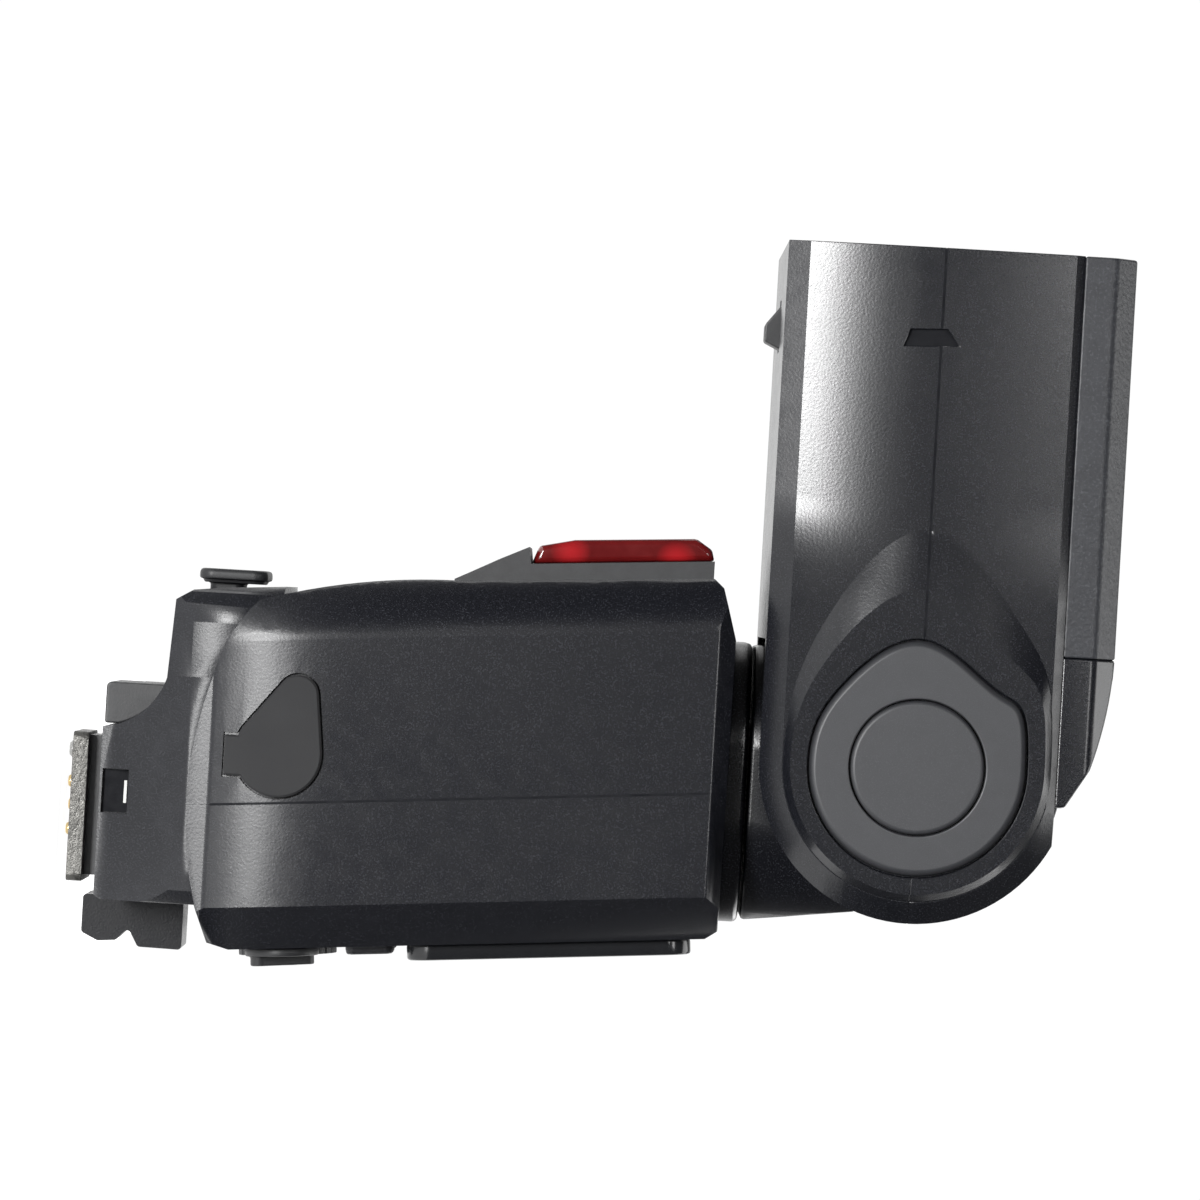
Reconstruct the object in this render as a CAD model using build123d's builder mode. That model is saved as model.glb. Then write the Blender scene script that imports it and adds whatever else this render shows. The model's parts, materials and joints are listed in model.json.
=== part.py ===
from build123d import *
import os

# A shoe-mount flash unit: locking foot, battery body with rear controls, and a head that pans and tilts.
# Millimetres.  The origin is the centre of the mounting foot's underside, +Z is up the body, the lens
# faces -Y, and +X is the side with the sync socket.  Side outlines are given as at(forward, height),
# forward being -Y.

# ---- Driving dimensions: foot --------------------------------------------------------------------
foot_width = 18.6             # across the camera shoe, the standard foot
foot_length = 18.8
foot_thickness = 2.0
foot_corner = 1.0
neck_half_width = 6.1         # passes between the shoe's two lips
neck_back = -8.6
neck_front = 9.0
contact_window_half = 4.2
contact_window_length = 9.4
contact_pin_radius = 0.8
contact_pin_drop = 0.7        # how far the sprung contacts stand below the foot
contact_spots = [(0.0, 0.0), (-2.9, -3.0), (2.9, -3.0), (2.9, 3.0)]
contact_press = 0.6
lock_pin_radius = 1.1
lock_pin_forward = 7.0
lock_pin_drop = 0.9
foot_screw_radius = 0.9
foot_screw_head_radius = 1.6
foot_screw_spread = 4.3       # half the distance across each pair of screws
foot_screw_forward = 7.2
running = 0.05                # radial clearance of pins and shafts that move
gap = 0.25                    # open line around a moving cover, door or key

# ---- Driving dimensions: lock lever --------------------------------------------------------------
core_radius = 6.5
lever_ring_radius = 9.0
lever_ring_low = 7.0
lever_ring_height = 1.6
lever_post_radius = 11.1      # the round wall that the lever's paddle swings round
lever_paddle_half_width = 6.5
lever_reach = 18.6
lever_low = 2.2               # clears the foot plate's corners as the lever swings

# ---- Driving dimensions: base under the body -----------------------------------------------------
base_floor = 4.2              # underside, clear of the camera's shoe
base_floor_thickness = 1.2
base_bottom_half_width = 19.5
base_top_half_width = 25.0
base_back = -11.05
base_split = 17.2             # forward place of the line between base housing and its front cover
base_wall = 1.8
base_front = 28.4
pocket_depth = 1.2

# ---- Driving dimensions: body --------------------------------------------------------------------
body_width = 66.0
body_wall = 2.0
body_lean = 0.08              # the body leans forward by this much for each millimetre of height
body_top = 82.0
body_top_chamfer = 2.0
body_bottom_chamfer = 2.4
side_front = 20.3             # forward ends of the flat side, brought down the lean to height 0
side_back = -12.5
section_front = 27.7
section_back = -17.9
corner_inset = 6.5            # how far the front and rear faces stand in from the flat side
seam_forward = 1.7            # line between front and rear shells, at seam_height
seam_height = 18.1

# ---- Driving dimensions: battery chamber ---------------------------------------------------------
cell_radius = 7.1
cell_length = 49.3
cell_nub = 1.2
cell_pitch = 14.9
cell_clearance = 0.3
chamber_wall = 0.9
chamber_forward = 8.0         # centre of the four cells
chamber_height = 37.4
chamber_end = 24.4            # inner end wall, on the +X side
cell_start = -28.2            # X of the cells' ends next to the door
door_thickness = 2.0
door_margin = 1.2

# ---- Driving dimensions: rear controls -----------------------------------------------------------
rear_height = 37.3
rear_forward = -14.9          # rear face at rear_height
dial_radius = 6.2
dial_height = 28.0
dial_proud = 1.7
dial_notches = 28
ok_radius = 3.0
key_row_height = 38.8
key_size = (9.0, 6.0)
key_spread = 14.5
key_proud = 1.3
switch_radius = 4.6
switch_side = -19.5
lcd_low = 43.5
lcd_high = 78.6
lcd_half_width = 24.5
lcd_proud = 2.0
window_half_width = 20.0
window_low = 48.0
window_high = 75.0
window_thickness = 1.0

# ---- Driving dimensions: swivel and neck ---------------------------------------------------------
pan_forward = 7.8
collar_size = (47.0, 35.0)
collar_corner = 13.0
collar_top = 84.4
swivel_gap = 0.3
swivel_radius = 9.0
swivel_bore = 6.5
swivel_low = 78.0
pivot_forward = 11.3
pivot_height = 105.0
drum_radius = 18.5
drum_half_width = 24.4
axle_radius = 5.0
axle_bore = 3.4
drum_clearance = 0.5

# ---- Driving dimensions: head --------------------------------------------------------------------
head_flank = 33.8             # flat side of the head
head_boss = 35.2              # raised plateau round the hinge
head_bevel = 2.7
head_round = 19.3             # radius of the head's back end about the tilt axis
head_low = 85.7
head_shoulder = 123.8
head_deck = 122.2             # where the top cover sits
head_front = 75.2
head_wall = 2.5
ear_inner = drum_half_width + drum_clearance
boss_reach = 29.1             # raised plateau's foot, and its edge, forward of the tilt axis
plateau_reach = 21.8
boss_radius = 16.5
cover_radius = 13.3           # teardrop hinge cover
cover_apex = 15.5             # its point, forward of the tilt axis
cover_recess = 1.4
cap_radius = 8.2
cap_proud = 0.5
top_height = 128.8
top_half_width = 33.0
grip_back = 25.8
grip_skin = 0.8
lens_half_width = 29.0
lens_low = 90.0
lens_high = 118.5
lens_thickness = 2.2
bezel_depth = 6.0
rod_radius = 1.2
rod_side = 27.6
rod_height = 92.5
carriage_back = 53.0          # carriage at its forward end
carriage_depth = 14.0
screw_radius = 1.4
screw_side = 27.4
screw_height = 112.5
panel_thickness = 1.3
card_thickness = 0.5
card_half_width = 26.0

os.makedirs("parts", exist_ok=True)

lean_length = (1 + body_lean**2) ** 0.5
rear = Plane(origin=(0, -rear_forward, rear_height), x_dir=(-1, 0, 0), z_dir=(0, 1, body_lean))
seam = Plane(origin=(0, -seam_forward, seam_height), x_dir=(1, 0, 0), z_dir=(0, -1, -body_lean))


def at(forward, height):
    """A point of a side outline, for sketches on Plane.YZ."""
    return (-forward, height)


def on_rear(height):
    """Distance up the leaning rear plane of a given height."""
    return (height - rear_height) * lean_length


def block(half_width, back, front, low, high, side=0.0, mode=Mode.ADD):
    """Add or cut a box given by its half width in X, its forward span and its heights."""
    with Locations((side, -(front + back) / 2, (low + high) / 2)):
        Box(2 * half_width, front - back, high - low, mode=mode)


def cross_bar(radius, forward, height, left, right, mode=Mode.ADD):
    """Add or cut a round bar along X between two X places."""
    with Locations(Plane.YZ.offset(left)):
        with Locations(at(forward, height)):
            Cylinder(radius, right - left, align=(Align.CENTER, Align.CENTER, Align.MIN), mode=mode)


def post(radius, side, forward, low, high, mode=Mode.ADD):
    """Add or cut an upright round post between two heights."""
    with Locations((side, -forward, low)):
        Cylinder(radius, high - low, align=(Align.CENTER, Align.CENTER, Align.MIN), mode=mode)


def rod(radius, side, height, back, front, mode=Mode.ADD):
    """Add or cut a round rod along the lens direction."""
    with Locations(Plane.XZ.offset(back)):
        with Locations((side, height)):
            Cylinder(radius, front - back, align=(Align.CENTER, Align.CENTER, Align.MIN), mode=mode)


def save(piece, label):
    """Label a finished piece and write its STEP file."""
    piece.part.label = label
    export_step(piece.part, f"parts/{label}.step")


# ---- Main body: outer form, and the same form drawn in by a wall ---------------------------------


def body_form(inset):
    """The body's form, drawn in by inset: side outline, leaning section and chamfered front view."""
    with BuildPart() as form:
        with BuildSketch(Plane.YZ):
            with BuildLine():
                Line(at(-10.9, 17.3), at(-15.4, 18.9))
                Line(at(-15.4, 18.9), at(-16.4, 22.4))
                Line(at(-16.4, 22.4), at(-11.7, 80.0))
                Line(at(-11.7, 80.0), at(-10.4, body_top - 0.2))
                Line(at(-10.4, body_top - 0.2), at(25.6, body_top))
                Line(at(25.6, body_top), at(31.9, 80.2))
                Line(at(31.9, 80.2), at(33.0, 79.0))
                Line(at(33.0, 79.0), at(31.0, 47.5))
                ThreePointArc(at(31.0, 47.5), at(30.0, 35.0), at(27.2, 23.2))
                ThreePointArc(at(27.2, 23.2), at(22.6, 19.9), at(17.4, 18.0))
                ThreePointArc(at(17.4, 18.0), at(3.0, 15.6), at(-10.9, 17.3))
            make_face()
            if inset:
                offset(amount=-inset, kind=Kind.INTERSECTION, mode=Mode.REPLACE)
        extrude(amount=body_width, both=True)
        with BuildSketch(Plane.XY):
            with BuildLine():
                edge = body_width / 2
                face_edge = edge - corner_inset
                Line((edge, -side_front), (edge, -side_back))
                Line((edge, -side_back), (face_edge, -section_back))
                Line((face_edge, -section_back), (0, -section_back))
                Line((0, -section_back), (-face_edge, -section_back))
                Line((-face_edge, -section_back), (-edge, -side_back))
                Line((-edge, -side_back), (-edge, -side_front))
                bulge = (edge - 2.3, -side_front - 5.0)
                ThreePointArc((-edge, -side_front), (-bulge[0], bulge[1]), (-face_edge, -section_front))
                ThreePointArc(
                    (-face_edge, -section_front), (0, -section_front - 0.9), (face_edge, -section_front),
                )
                ThreePointArc((face_edge, -section_front), bulge, (edge, -side_front))
            make_face()
            if inset:
                offset(amount=-inset, kind=Kind.INTERSECTION, mode=Mode.REPLACE)
        extrude(amount=100, dir=(0, -body_lean, 1), mode=Mode.INTERSECT)
        with BuildSketch(Plane.XZ):
            with BuildLine():
                edge = body_width / 2
                top = body_top + 1
                top_edge = edge - body_top_chamfer - 1
                low_edge = edge - body_bottom_chamfer
                FilletPolyline(
                    (-edge, 18.5), (-edge, body_top - body_top_chamfer), (-top_edge, top), (top_edge, top),
                    (edge, body_top - body_top_chamfer), (edge, 18.5), (low_edge, 14.5), (-low_edge, 14.5),
                    radius=0.6, close=True,
                )
            make_face()
            if inset:
                offset(amount=-inset, kind=Kind.INTERSECTION, mode=Mode.REPLACE)
        extrude(amount=100, both=True, mode=Mode.INTERSECT)
    return form.part


body_outer = body_form(0)
body_inner = body_form(body_wall)


def base_form(inset):
    """The base's form under the body, drawn in by inset, before the body is cut away from it."""
    with BuildPart() as form:
        with BuildSketch(Plane.YZ):
            with BuildLine():
                Line(at(base_back, 22.0), at(base_back, 5.0))
                Line(at(base_back, 5.0), at(base_back + 0.5, base_floor))
                Line(at(base_back + 0.5, base_floor), at(10.4, base_floor))
                ThreePointArc(at(10.4, base_floor), at(12.5, 9.1), at(16.9, 12.0))
                Line(at(16.9, 12.0), at(26.7, 12.6))
                Line(at(26.7, 12.6), at(28.0, 14.7))
                Line(at(28.0, 14.7), at(base_front, 18.0))
                Line(at(base_front, 18.0), at(base_front + 0.6, 26.0))
                Line(at(base_front + 0.6, 26.0), at(base_back, 22.0))
            make_face()
            if inset:
                offset(amount=-inset, kind=Kind.INTERSECTION, mode=Mode.REPLACE)
        extrude(amount=body_width, both=True)
        with BuildSketch(Plane.XZ):
            with BuildLine():
                Polyline(
                    (-base_bottom_half_width, 3.0), (-base_bottom_half_width - 0.6, 6.0),
                    (-base_top_half_width, 15.0), (-base_top_half_width, 30.0), (base_top_half_width, 30.0),
                    (base_top_half_width, 15.0), (base_bottom_half_width + 0.6, 6.0),
                    (base_bottom_half_width, 3.0), close=True,
                )
            make_face()
            if inset:
                offset(amount=-inset, kind=Kind.INTERSECTION, mode=Mode.REPLACE)
        extrude(amount=100, both=True, mode=Mode.INTERSECT)
        with BuildSketch(Plane.XY):
            with Locations((0, -(base_front + base_back) / 2)):
                RectangleRounded(
                    2 * (base_top_half_width - inset), base_front - base_back + 1.2 - 2 * inset, 5.0 - inset
                )
        extrude(amount=40, mode=Mode.INTERSECT)
    return form.part


# ---- Foot ----------------------------------------------------------------------------------------

foot_screw_places = [
    (sign * foot_screw_spread, -forward)
    for sign in (-1, 1)
    for forward in (-foot_screw_forward, foot_screw_forward)
]
contact_places = [(side, -forward) for side, forward in contact_spots]

with BuildPart() as foot_plate:
    with BuildSketch():
        RectangleRounded(foot_width, foot_length, foot_corner)
        Rectangle(2 * contact_window_half, contact_window_length, mode=Mode.SUBTRACT)
        with Locations((0, -lock_pin_forward)):
            Circle(lock_pin_radius + 0.2, mode=Mode.SUBTRACT)
    extrude(amount=foot_thickness)
    with Locations(*[(x, y, 0) for x, y in foot_screw_places]):
        Cone(
            foot_screw_head_radius + 0.1, foot_screw_radius + 0.1, foot_thickness / 2,
            align=(Align.CENTER, Align.CENTER, Align.MIN), mode=Mode.SUBTRACT,
        )
        Cylinder(
            foot_screw_radius + 0.1, foot_thickness,
            align=(Align.CENTER, Align.CENTER, Align.MIN), mode=Mode.SUBTRACT,
        )
save(foot_plate, "foot_plate")

with BuildPart() as foot_core:
    block(neck_half_width, neck_back, neck_front, foot_thickness, base_floor)
    post(core_radius, 0, 0, base_floor, lever_ring_low + lever_ring_height + 0.2)
    flange_low = lever_ring_low + lever_ring_height + 0.2
    post(lever_ring_radius, 0, 0, flange_low, flange_low + 1.4)
    window_end = contact_window_length / 2
    block(contact_window_half, -window_end, window_end, 0, 20, mode=Mode.SUBTRACT)
    post(lock_pin_radius + running, 0, lock_pin_forward, 0, 20, mode=Mode.SUBTRACT)
    with Locations(*[(x, y, foot_thickness) for x, y in foot_screw_places]):
        Cylinder(
            foot_screw_radius, base_floor,
            align=(Align.CENTER, Align.CENTER, Align.MIN), mode=Mode.SUBTRACT,
        )
save(foot_core, "foot_core")

with BuildPart() as foot_screws:
    with Locations(*[(x, y, 0.1) for x, y in foot_screw_places]):
        Cone(
            foot_screw_head_radius, foot_screw_radius, foot_thickness / 2 - 0.1,
            align=(Align.CENTER, Align.CENTER, Align.MIN),
        )
        Cylinder(foot_screw_radius, base_floor - 0.2, align=(Align.CENTER, Align.CENTER, Align.MIN))
    with Locations(*[(x, y, 0.1) for x, y in foot_screw_places]):
        Box(2.0, 0.4, 0.5, align=(Align.CENTER, Align.CENTER, Align.MIN), mode=Mode.SUBTRACT)
        Box(0.4, 2.0, 0.5, align=(Align.CENTER, Align.CENTER, Align.MIN), mode=Mode.SUBTRACT)
save(foot_screws, "foot_screws")

contact_block_top = flange_low + 1.4
with BuildPart() as contact_block:
    block(
        contact_window_half - 0.02, -contact_window_length / 2 + 0.02, contact_window_length / 2 - 0.02,
        0.15, contact_block_top,
    )
    with Locations(*[(x, y, 0) for x, y in contact_places]):
        Cylinder(
            contact_pin_radius + running, contact_block_top,
            align=(Align.CENTER, Align.CENTER, Align.MIN), mode=Mode.SUBTRACT,
        )
save(contact_block, "contact_block")

with BuildPart() as contact_pins:
    with Locations(*[(x, y, -contact_pin_drop) for x, y in contact_places]):
        Cylinder(
            contact_pin_radius, contact_pin_drop + contact_block_top - contact_press - 0.4,
            align=(Align.CENTER, Align.CENTER, Align.MIN),
        )
    fillet(contact_pins.edges().group_by(Axis.Z)[0], radius=0.4)
save(contact_pins, "contact_pins")

with BuildPart() as lock_pin:
    post(lock_pin_radius, 0, lock_pin_forward, -lock_pin_drop, lever_ring_low - 1.6)
    chamfer(lock_pin.edges().group_by(Axis.Z)[0], length=0.35)
save(lock_pin, "lock_pin")

# ---- Lock lever: a ring round the foot's core, with a grooved paddle behind ----------------------

with BuildPart() as lock_lever:
    with BuildSketch(Plane.YZ):
        with BuildLine():
            FilletPolyline(
                at(-11.0, lever_low), at(-15.8, lever_low), at(-16.8, 4.3), at(-16.6, 6.6), at(-15.0, 8.1),
                at(-17.3, 9.4), at(-17.4, 14.9), at(-11.0, 14.9), radius=0.5, close=True,
            )
        make_face()
    extrude(amount=lever_paddle_half_width, both=True)
    post(lever_post_radius + gap, 0, 0, 0, 20, mode=Mode.SUBTRACT)
    with BuildSketch(Plane.XY.offset(1.0)):
        Circle(lever_reach)
        with Locations((0, 15)):
            RectangleRounded(2 * lever_paddle_half_width, 14, 2.5, mode=Mode.INTERSECT)
    extrude(amount=18, mode=Mode.INTERSECT)
    block(3.0, -12.2, -7.2, lever_ring_low, lever_ring_low + lever_ring_height)
    post(lever_ring_radius, 0, 0, lever_ring_low, lever_ring_low + lever_ring_height)
    post(core_radius + running, 0, 0, 0, 20, mode=Mode.SUBTRACT)
    for groove in range(4):
        block(0.35, -18, -16.6, 10.2, 14.2, side=-3.6 + 2.4 * groove, mode=Mode.SUBTRACT)
save(lock_lever, "lock_lever")

# ---- Base housing, its front cover and the contact cover in front of the foot --------------------

base_outer = base_form(0)
base_inner = base_form(base_wall)

with BuildPart() as base_housing:
    add(base_outer)
    add(body_outer, mode=Mode.SUBTRACT)
    block(40, base_split, 60, 0, 60, mode=Mode.SUBTRACT)
    with BuildSketch(Plane.XY.offset(1.0)):
        Circle(lever_reach + 8)
        with BuildLine():
            Polyline((0, 0), (48, 30), (0, 60), (-48, 30), close=True)
        make_face(mode=Mode.INTERSECT)
        Circle(lever_post_radius, mode=Mode.SUBTRACT)
    extrude(amount=15.0, mode=Mode.SUBTRACT)
    chamber_low = base_floor + base_floor_thickness
    post(lever_post_radius - 1.5, 0, 0, chamber_low, 30, mode=Mode.SUBTRACT)
    block(base_bottom_half_width - 3.5, -3.0, base_split + 1, 9.6, 30, mode=Mode.SUBTRACT)
    block(neck_half_width + 0.1, -6.0, 6.0, 0, 30, mode=Mode.SUBTRACT)
    post(core_radius + 0.1, 0, 0, 0, 30, mode=Mode.SUBTRACT)
    post(lock_pin_radius + 0.2, 0, lock_pin_forward, 0, 30, mode=Mode.SUBTRACT)
    with BuildSketch(Plane.XY.offset(lever_ring_low - 0.3)):
        Circle(lever_post_radius + 1)
        with BuildLine():
            Polyline((0, 0), (5.2, 14), (-14, 14), (0, 0))
        make_face(mode=Mode.INTERSECT)
    extrude(amount=lever_ring_height + 0.6, mode=Mode.SUBTRACT)
    for side in (-1, 1):
        block(
            pocket_depth, -0.3, 5.2, 4.5, 10.3,
            side=side * (base_bottom_half_width + 0.4), mode=Mode.SUBTRACT,
        )
save(base_housing, "base_housing")

socket_half_width = 7.0
socket_back = 25.4
socket_height = 18.0
socket_low = socket_height - 2.8
socket_high = socket_height + 2.8
with BuildPart() as front_hollow:
    add(base_inner)
    block(40, -40, base_split - 0.01, 0, 60, mode=Mode.SUBTRACT)

with BuildPart() as base_front_cover:
    add(base_outer)
    add(body_outer, mode=Mode.SUBTRACT)
    block(40, -40, base_split, 0, 60, mode=Mode.SUBTRACT)
    add(front_hollow.part, mode=Mode.SUBTRACT)
    block(socket_half_width, socket_back, 32.0, socket_low, socket_high, mode=Mode.SUBTRACT)
save(base_front_cover, "base_front_cover")

with BuildPart() as af_contact_cover:
    with BuildSketch(Plane.YZ):
        with BuildLine():
            Line(at(10.7, 3.9), at(15.2, 3.9))
            ThreePointArc(at(15.2, 3.9), at(15.7, 4.1), at(15.9, 4.6))
            Line(at(15.9, 4.6), at(15.9, 12.6))
            Line(at(15.9, 12.6), at(10.7, 12.6))
            Line(at(10.7, 12.6), at(10.7, 3.9))
        make_face()
    extrude(amount=11.0, both=True)
    add(base_outer, mode=Mode.SUBTRACT)
save(af_contact_cover, "af_contact_cover")

with BuildPart() as power_socket:
    block(socket_half_width - 0.02, socket_back, 27.6, socket_low + 0.02, socket_high - 0.02)
    with BuildSketch(Plane.XZ.offset(socket_back + 0.8)):
        with Locations((0, socket_height)):
            RectangleRounded(2 * socket_half_width - 1.2, socket_high - socket_low - 1.0, 1.2)
    extrude(amount=6, mode=Mode.SUBTRACT)
    for side in (-3.6, 0, 3.6):
        rod(0.8, side, socket_height, 20, 28, mode=Mode.SUBTRACT)
save(power_socket, "power_socket")

with BuildPart() as socket_pins:
    for side in (-3.6, 0, 3.6):
        rod(0.8, side, socket_height, socket_back, 27.4)
save(socket_pins, "socket_pins")

with BuildPart() as power_cap:
    with BuildSketch(Plane.XZ.offset(29.5)):
        with Locations((0, 18.9)):
            RectangleRounded(17.6, 8.6, 1.8)
    extrude(amount=1.3)
    with BuildSketch(Plane.XZ.offset(29.05)):
        with Locations((0, 18.9)):
            RectangleRounded(15.6, 7.6, 1.4)
    extrude(amount=0.5)
    with BuildSketch(Plane.XZ.offset(27.9)):
        with Locations((0, socket_height)):
            RectangleRounded(12.2, 4.2, 1.0)
            RectangleRounded(10.6, 2.8, 0.6, mode=Mode.SUBTRACT)
    extrude(amount=1.2)
    chamfer(power_cap.faces().sort_by(Axis.Y)[0].edges(), length=0.3)
save(power_cap, "power_cap")

# ---- Main body shells ----------------------------------------------------------------------------

door_low = chamber_height - cell_pitch - door_margin
door_high = chamber_height + cell_pitch + door_margin
door_back = chamber_forward - cell_pitch - 0.3
door_front = chamber_forward + cell_pitch - 0.3
sync_forward = 8.5
sync_height = 26.6
sync_radius = 5.4
sync_small_forward = 15.8
sync_small_height = 28.7
sync_small_radius = 2.5
sync_recess = 1.0
sync_socket_radius = 3.4
sync_hinge_height = sync_height - sync_radius - 0.6
sync_proud = 0.6
door_inner_x = -body_width / 2 + door_thickness


def sync_outline(grow):
    """Teardrop outline of the sync cover with its hinge tab, grown by a clearance."""
    with BuildSketch(Plane.YZ.offset(body_width / 2)) as outline:
        with BuildLine():
            CenterArc(at(sync_forward, sync_height), sync_radius + grow, 0, 360)
            CenterArc(at(sync_small_forward, sync_small_height), sync_small_radius + grow, 0, 360)
        make_hull()
        with Locations(at(sync_forward - 0.5, sync_hinge_height + 1.2)):
            Rectangle(5.0 + 2 * grow, 3.6 + 2 * grow)
    return outline.sketch


def door_outline(grow):
    """Outline of the battery door on the -X side, grown by a clearance."""
    with BuildSketch(Plane.YZ.offset(-body_width / 2)) as outline:
        with Locations(at((door_back + door_front) / 2, (door_low + door_high) / 2)):
            RectangleRounded(door_front - door_back + 2 * grow, door_high - door_low + 2 * grow, 2.0)
    return outline.sketch


key_sides = [-key_spread, 0.0, key_spread]
key_y = on_rear(key_row_height)
dial_y = on_rear(dial_height)
lcd_y = on_rear((lcd_low + lcd_high) / 2)
window_y = on_rear((window_low + window_high) / 2)

with BuildPart() as body_shell:
    add(body_outer)
    add(body_inner, mode=Mode.SUBTRACT)
    # the cells go in from the -X side, behind the door
    extrude(door_outline(gap), amount=8, dir=(1, 0, 0), mode=Mode.SUBTRACT)
    extrude(sync_outline(gap), amount=-sync_recess, dir=(1, 0, 0), mode=Mode.SUBTRACT)
    cross_bar(sync_socket_radius + 0.02, sync_forward, sync_height, 28, 34, mode=Mode.SUBTRACT)
    # rear keys, dial, switch and display
    with BuildSketch(rear.offset(-8)):
        with Locations((0, dial_y)):
            Circle(dial_radius + gap)
        with Locations(*[(side, key_y) for side in key_sides]):
            RectangleRounded(key_size[0] + 2 * gap, key_size[1] + 2 * gap, 1.2)
        with Locations((switch_side, dial_y)):
            Circle(switch_radius - 1.4 + gap)
        with Locations((-switch_side, dial_y)):
            Circle(switch_radius - 1.4 + gap)
        with Locations((0, lcd_y)):
            Rectangle(2 * lcd_half_width - 4, lcd_high - lcd_low - 4)
    extrude(amount=16, mode=Mode.SUBTRACT)
    # swivel hole, cable way down to the foot, and the window for the autofocus lamps
    post(swivel_radius + running, 0, pan_forward, 70, 90, mode=Mode.SUBTRACT)
    post(core_radius, 0, 0, 10, 22, mode=Mode.SUBTRACT)
    block(15.0, 28.6, 40, 57.5, 77.5, mode=Mode.SUBTRACT)

with BuildPart() as body_front_shell:
    add(body_shell.part)
    split(bisect_by=seam, keep=Keep.TOP)
save(body_front_shell, "body_front_shell")

with BuildPart() as body_rear_shell:
    add(body_shell.part)
    split(bisect_by=seam, keep=Keep.BOTTOM)
save(body_rear_shell, "body_rear_shell")

# ---- Autofocus lamp housing on the body's front --------------------------------------------------

with BuildPart() as af_bezel:
    with BuildSketch(Plane.YZ):
        with BuildLine():
            Polyline(
                at(28, 46.8), at(31.2, 46.8), at(32.1, 48.6), at(34.0, 52.3), at(35.7, 55.9), at(33.6, 56.2),
                at(35.2, 79.0), at(28, 79.0), close=True,
            )
        make_face()
    extrude(amount=19.5, both=True)
    add(body_outer, mode=Mode.SUBTRACT)
    with BuildSketch(Plane.XZ.offset(20)):
        with Locations((0, 67.5)):
            Rectangle(29.4, 19.4)
    extrude(amount=40, mode=Mode.SUBTRACT)
save(af_bezel, "af_bezel")

with BuildPart() as af_window:
    with BuildSketch(Plane.YZ):
        with BuildLine():
            Polyline(
                at(33.62, 56.25), at(35.9, 57.1), at(36.9, 61.5), at(37.9, 76.6), at(36.6, 78.6),
                at(35.22, 78.95), close=True,
            )
        make_face()
    extrude(amount=18.4, both=True)
    chamfer(af_window.faces().filter_by(Plane.YZ).edges(), length=0.5)
save(af_window, "af_window")

with BuildPart() as af_lamps:
    for height in (61.5, 73.5):
        rod(2.4, 0, height, 29.4, 33.2)
    block(7.0, 27.4, 29.4, 58.5, 76.5)
save(af_lamps, "af_lamps")

# ---- Sync socket and its cover -------------------------------------------------------------------

with BuildPart() as sync_socket:
    cross_bar(sync_socket_radius, sync_forward, sync_height, 28.4, 31.9)
    cross_bar(2.5, sync_forward, sync_height, 29.6, 34, mode=Mode.SUBTRACT)
    cross_bar(0.7, sync_forward, sync_height, 29.4, 31.6)
save(sync_socket, "sync_socket")

with BuildPart() as sync_cover:
    extrude(sync_outline(0), amount=-(sync_recess - 0.1), dir=(1, 0, 0))
    extrude(sync_outline(0), amount=sync_proud, dir=(1, 0, 0))
    chamfer(sync_cover.faces().sort_by(Axis.X)[-1].edges(), length=0.25)
save(sync_cover, "sync_cover")

# ---- Battery chamber, cells, springs and door ----------------------------------------------------

cell_places = [
    at(chamber_forward + across * cell_pitch / 2, chamber_height + up * cell_pitch / 2)
    for across in (-1, 1)
    for up in (-1, 1)
]
cell_end = cell_start + cell_length
bore_radius = cell_radius + cell_clearance
chamber_form = body_form(body_wall + 0.05)
with BuildPart() as battery_box:
    with BuildSketch(Plane.YZ.offset(door_inner_x + 1.6)):
        with Locations(at(chamber_forward, chamber_height)):
            Rectangle(2 * cell_pitch + 2 * chamber_wall - 0.6, 2 * cell_pitch + 2 * chamber_wall - 0.6)
    extrude(amount=chamber_end - door_inner_x - 1.6)
    add(chamber_form, mode=Mode.INTERSECT)
    with BuildSketch(Plane.YZ.offset(door_inner_x + 1.6)):
        with Locations(*cell_places):
            Circle(bore_radius)
    extrude(amount=cell_end + 2.2 - door_inner_x - 1.6, mode=Mode.SUBTRACT)
save(battery_box, "battery_box")

with BuildPart() as aa_cells:
    for place in cell_places:
        with Locations(Plane.YZ.offset(cell_start)):
            with Locations(place):
                Cylinder(cell_radius, cell_length, align=(Align.CENTER, Align.CENTER, Align.MIN))
        with Locations(Plane.YZ.offset(cell_end)):
            with Locations(place):
                Cylinder(2.7, cell_nub, align=(Align.CENTER, Align.CENTER, Align.MIN))
save(aa_cells, "aa_cells")

with BuildPart() as battery_contacts:
    for place in cell_places:
        with Locations(Plane.YZ.offset(cell_end + cell_nub)):
            with Locations(place):
                Cylinder(5.0, 2.2 - cell_nub, align=(Align.CENTER, Align.CENTER, Align.MIN))
save(battery_contacts, "battery_contacts")

with BuildPart() as battery_door:
    extrude(door_outline(0), amount=door_thickness, dir=(1, 0, 0))
    with BuildSketch(Plane.YZ.offset(-body_width / 2)):
        for rib in range(5):
            with Locations(at(door_front - 4.0 - 1.6 * rib, chamber_height)):
                RectangleRounded(0.7, 12.0, 0.3)
    extrude(amount=0.4, mode=Mode.SUBTRACT)
save(battery_door, "battery_door")

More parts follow.
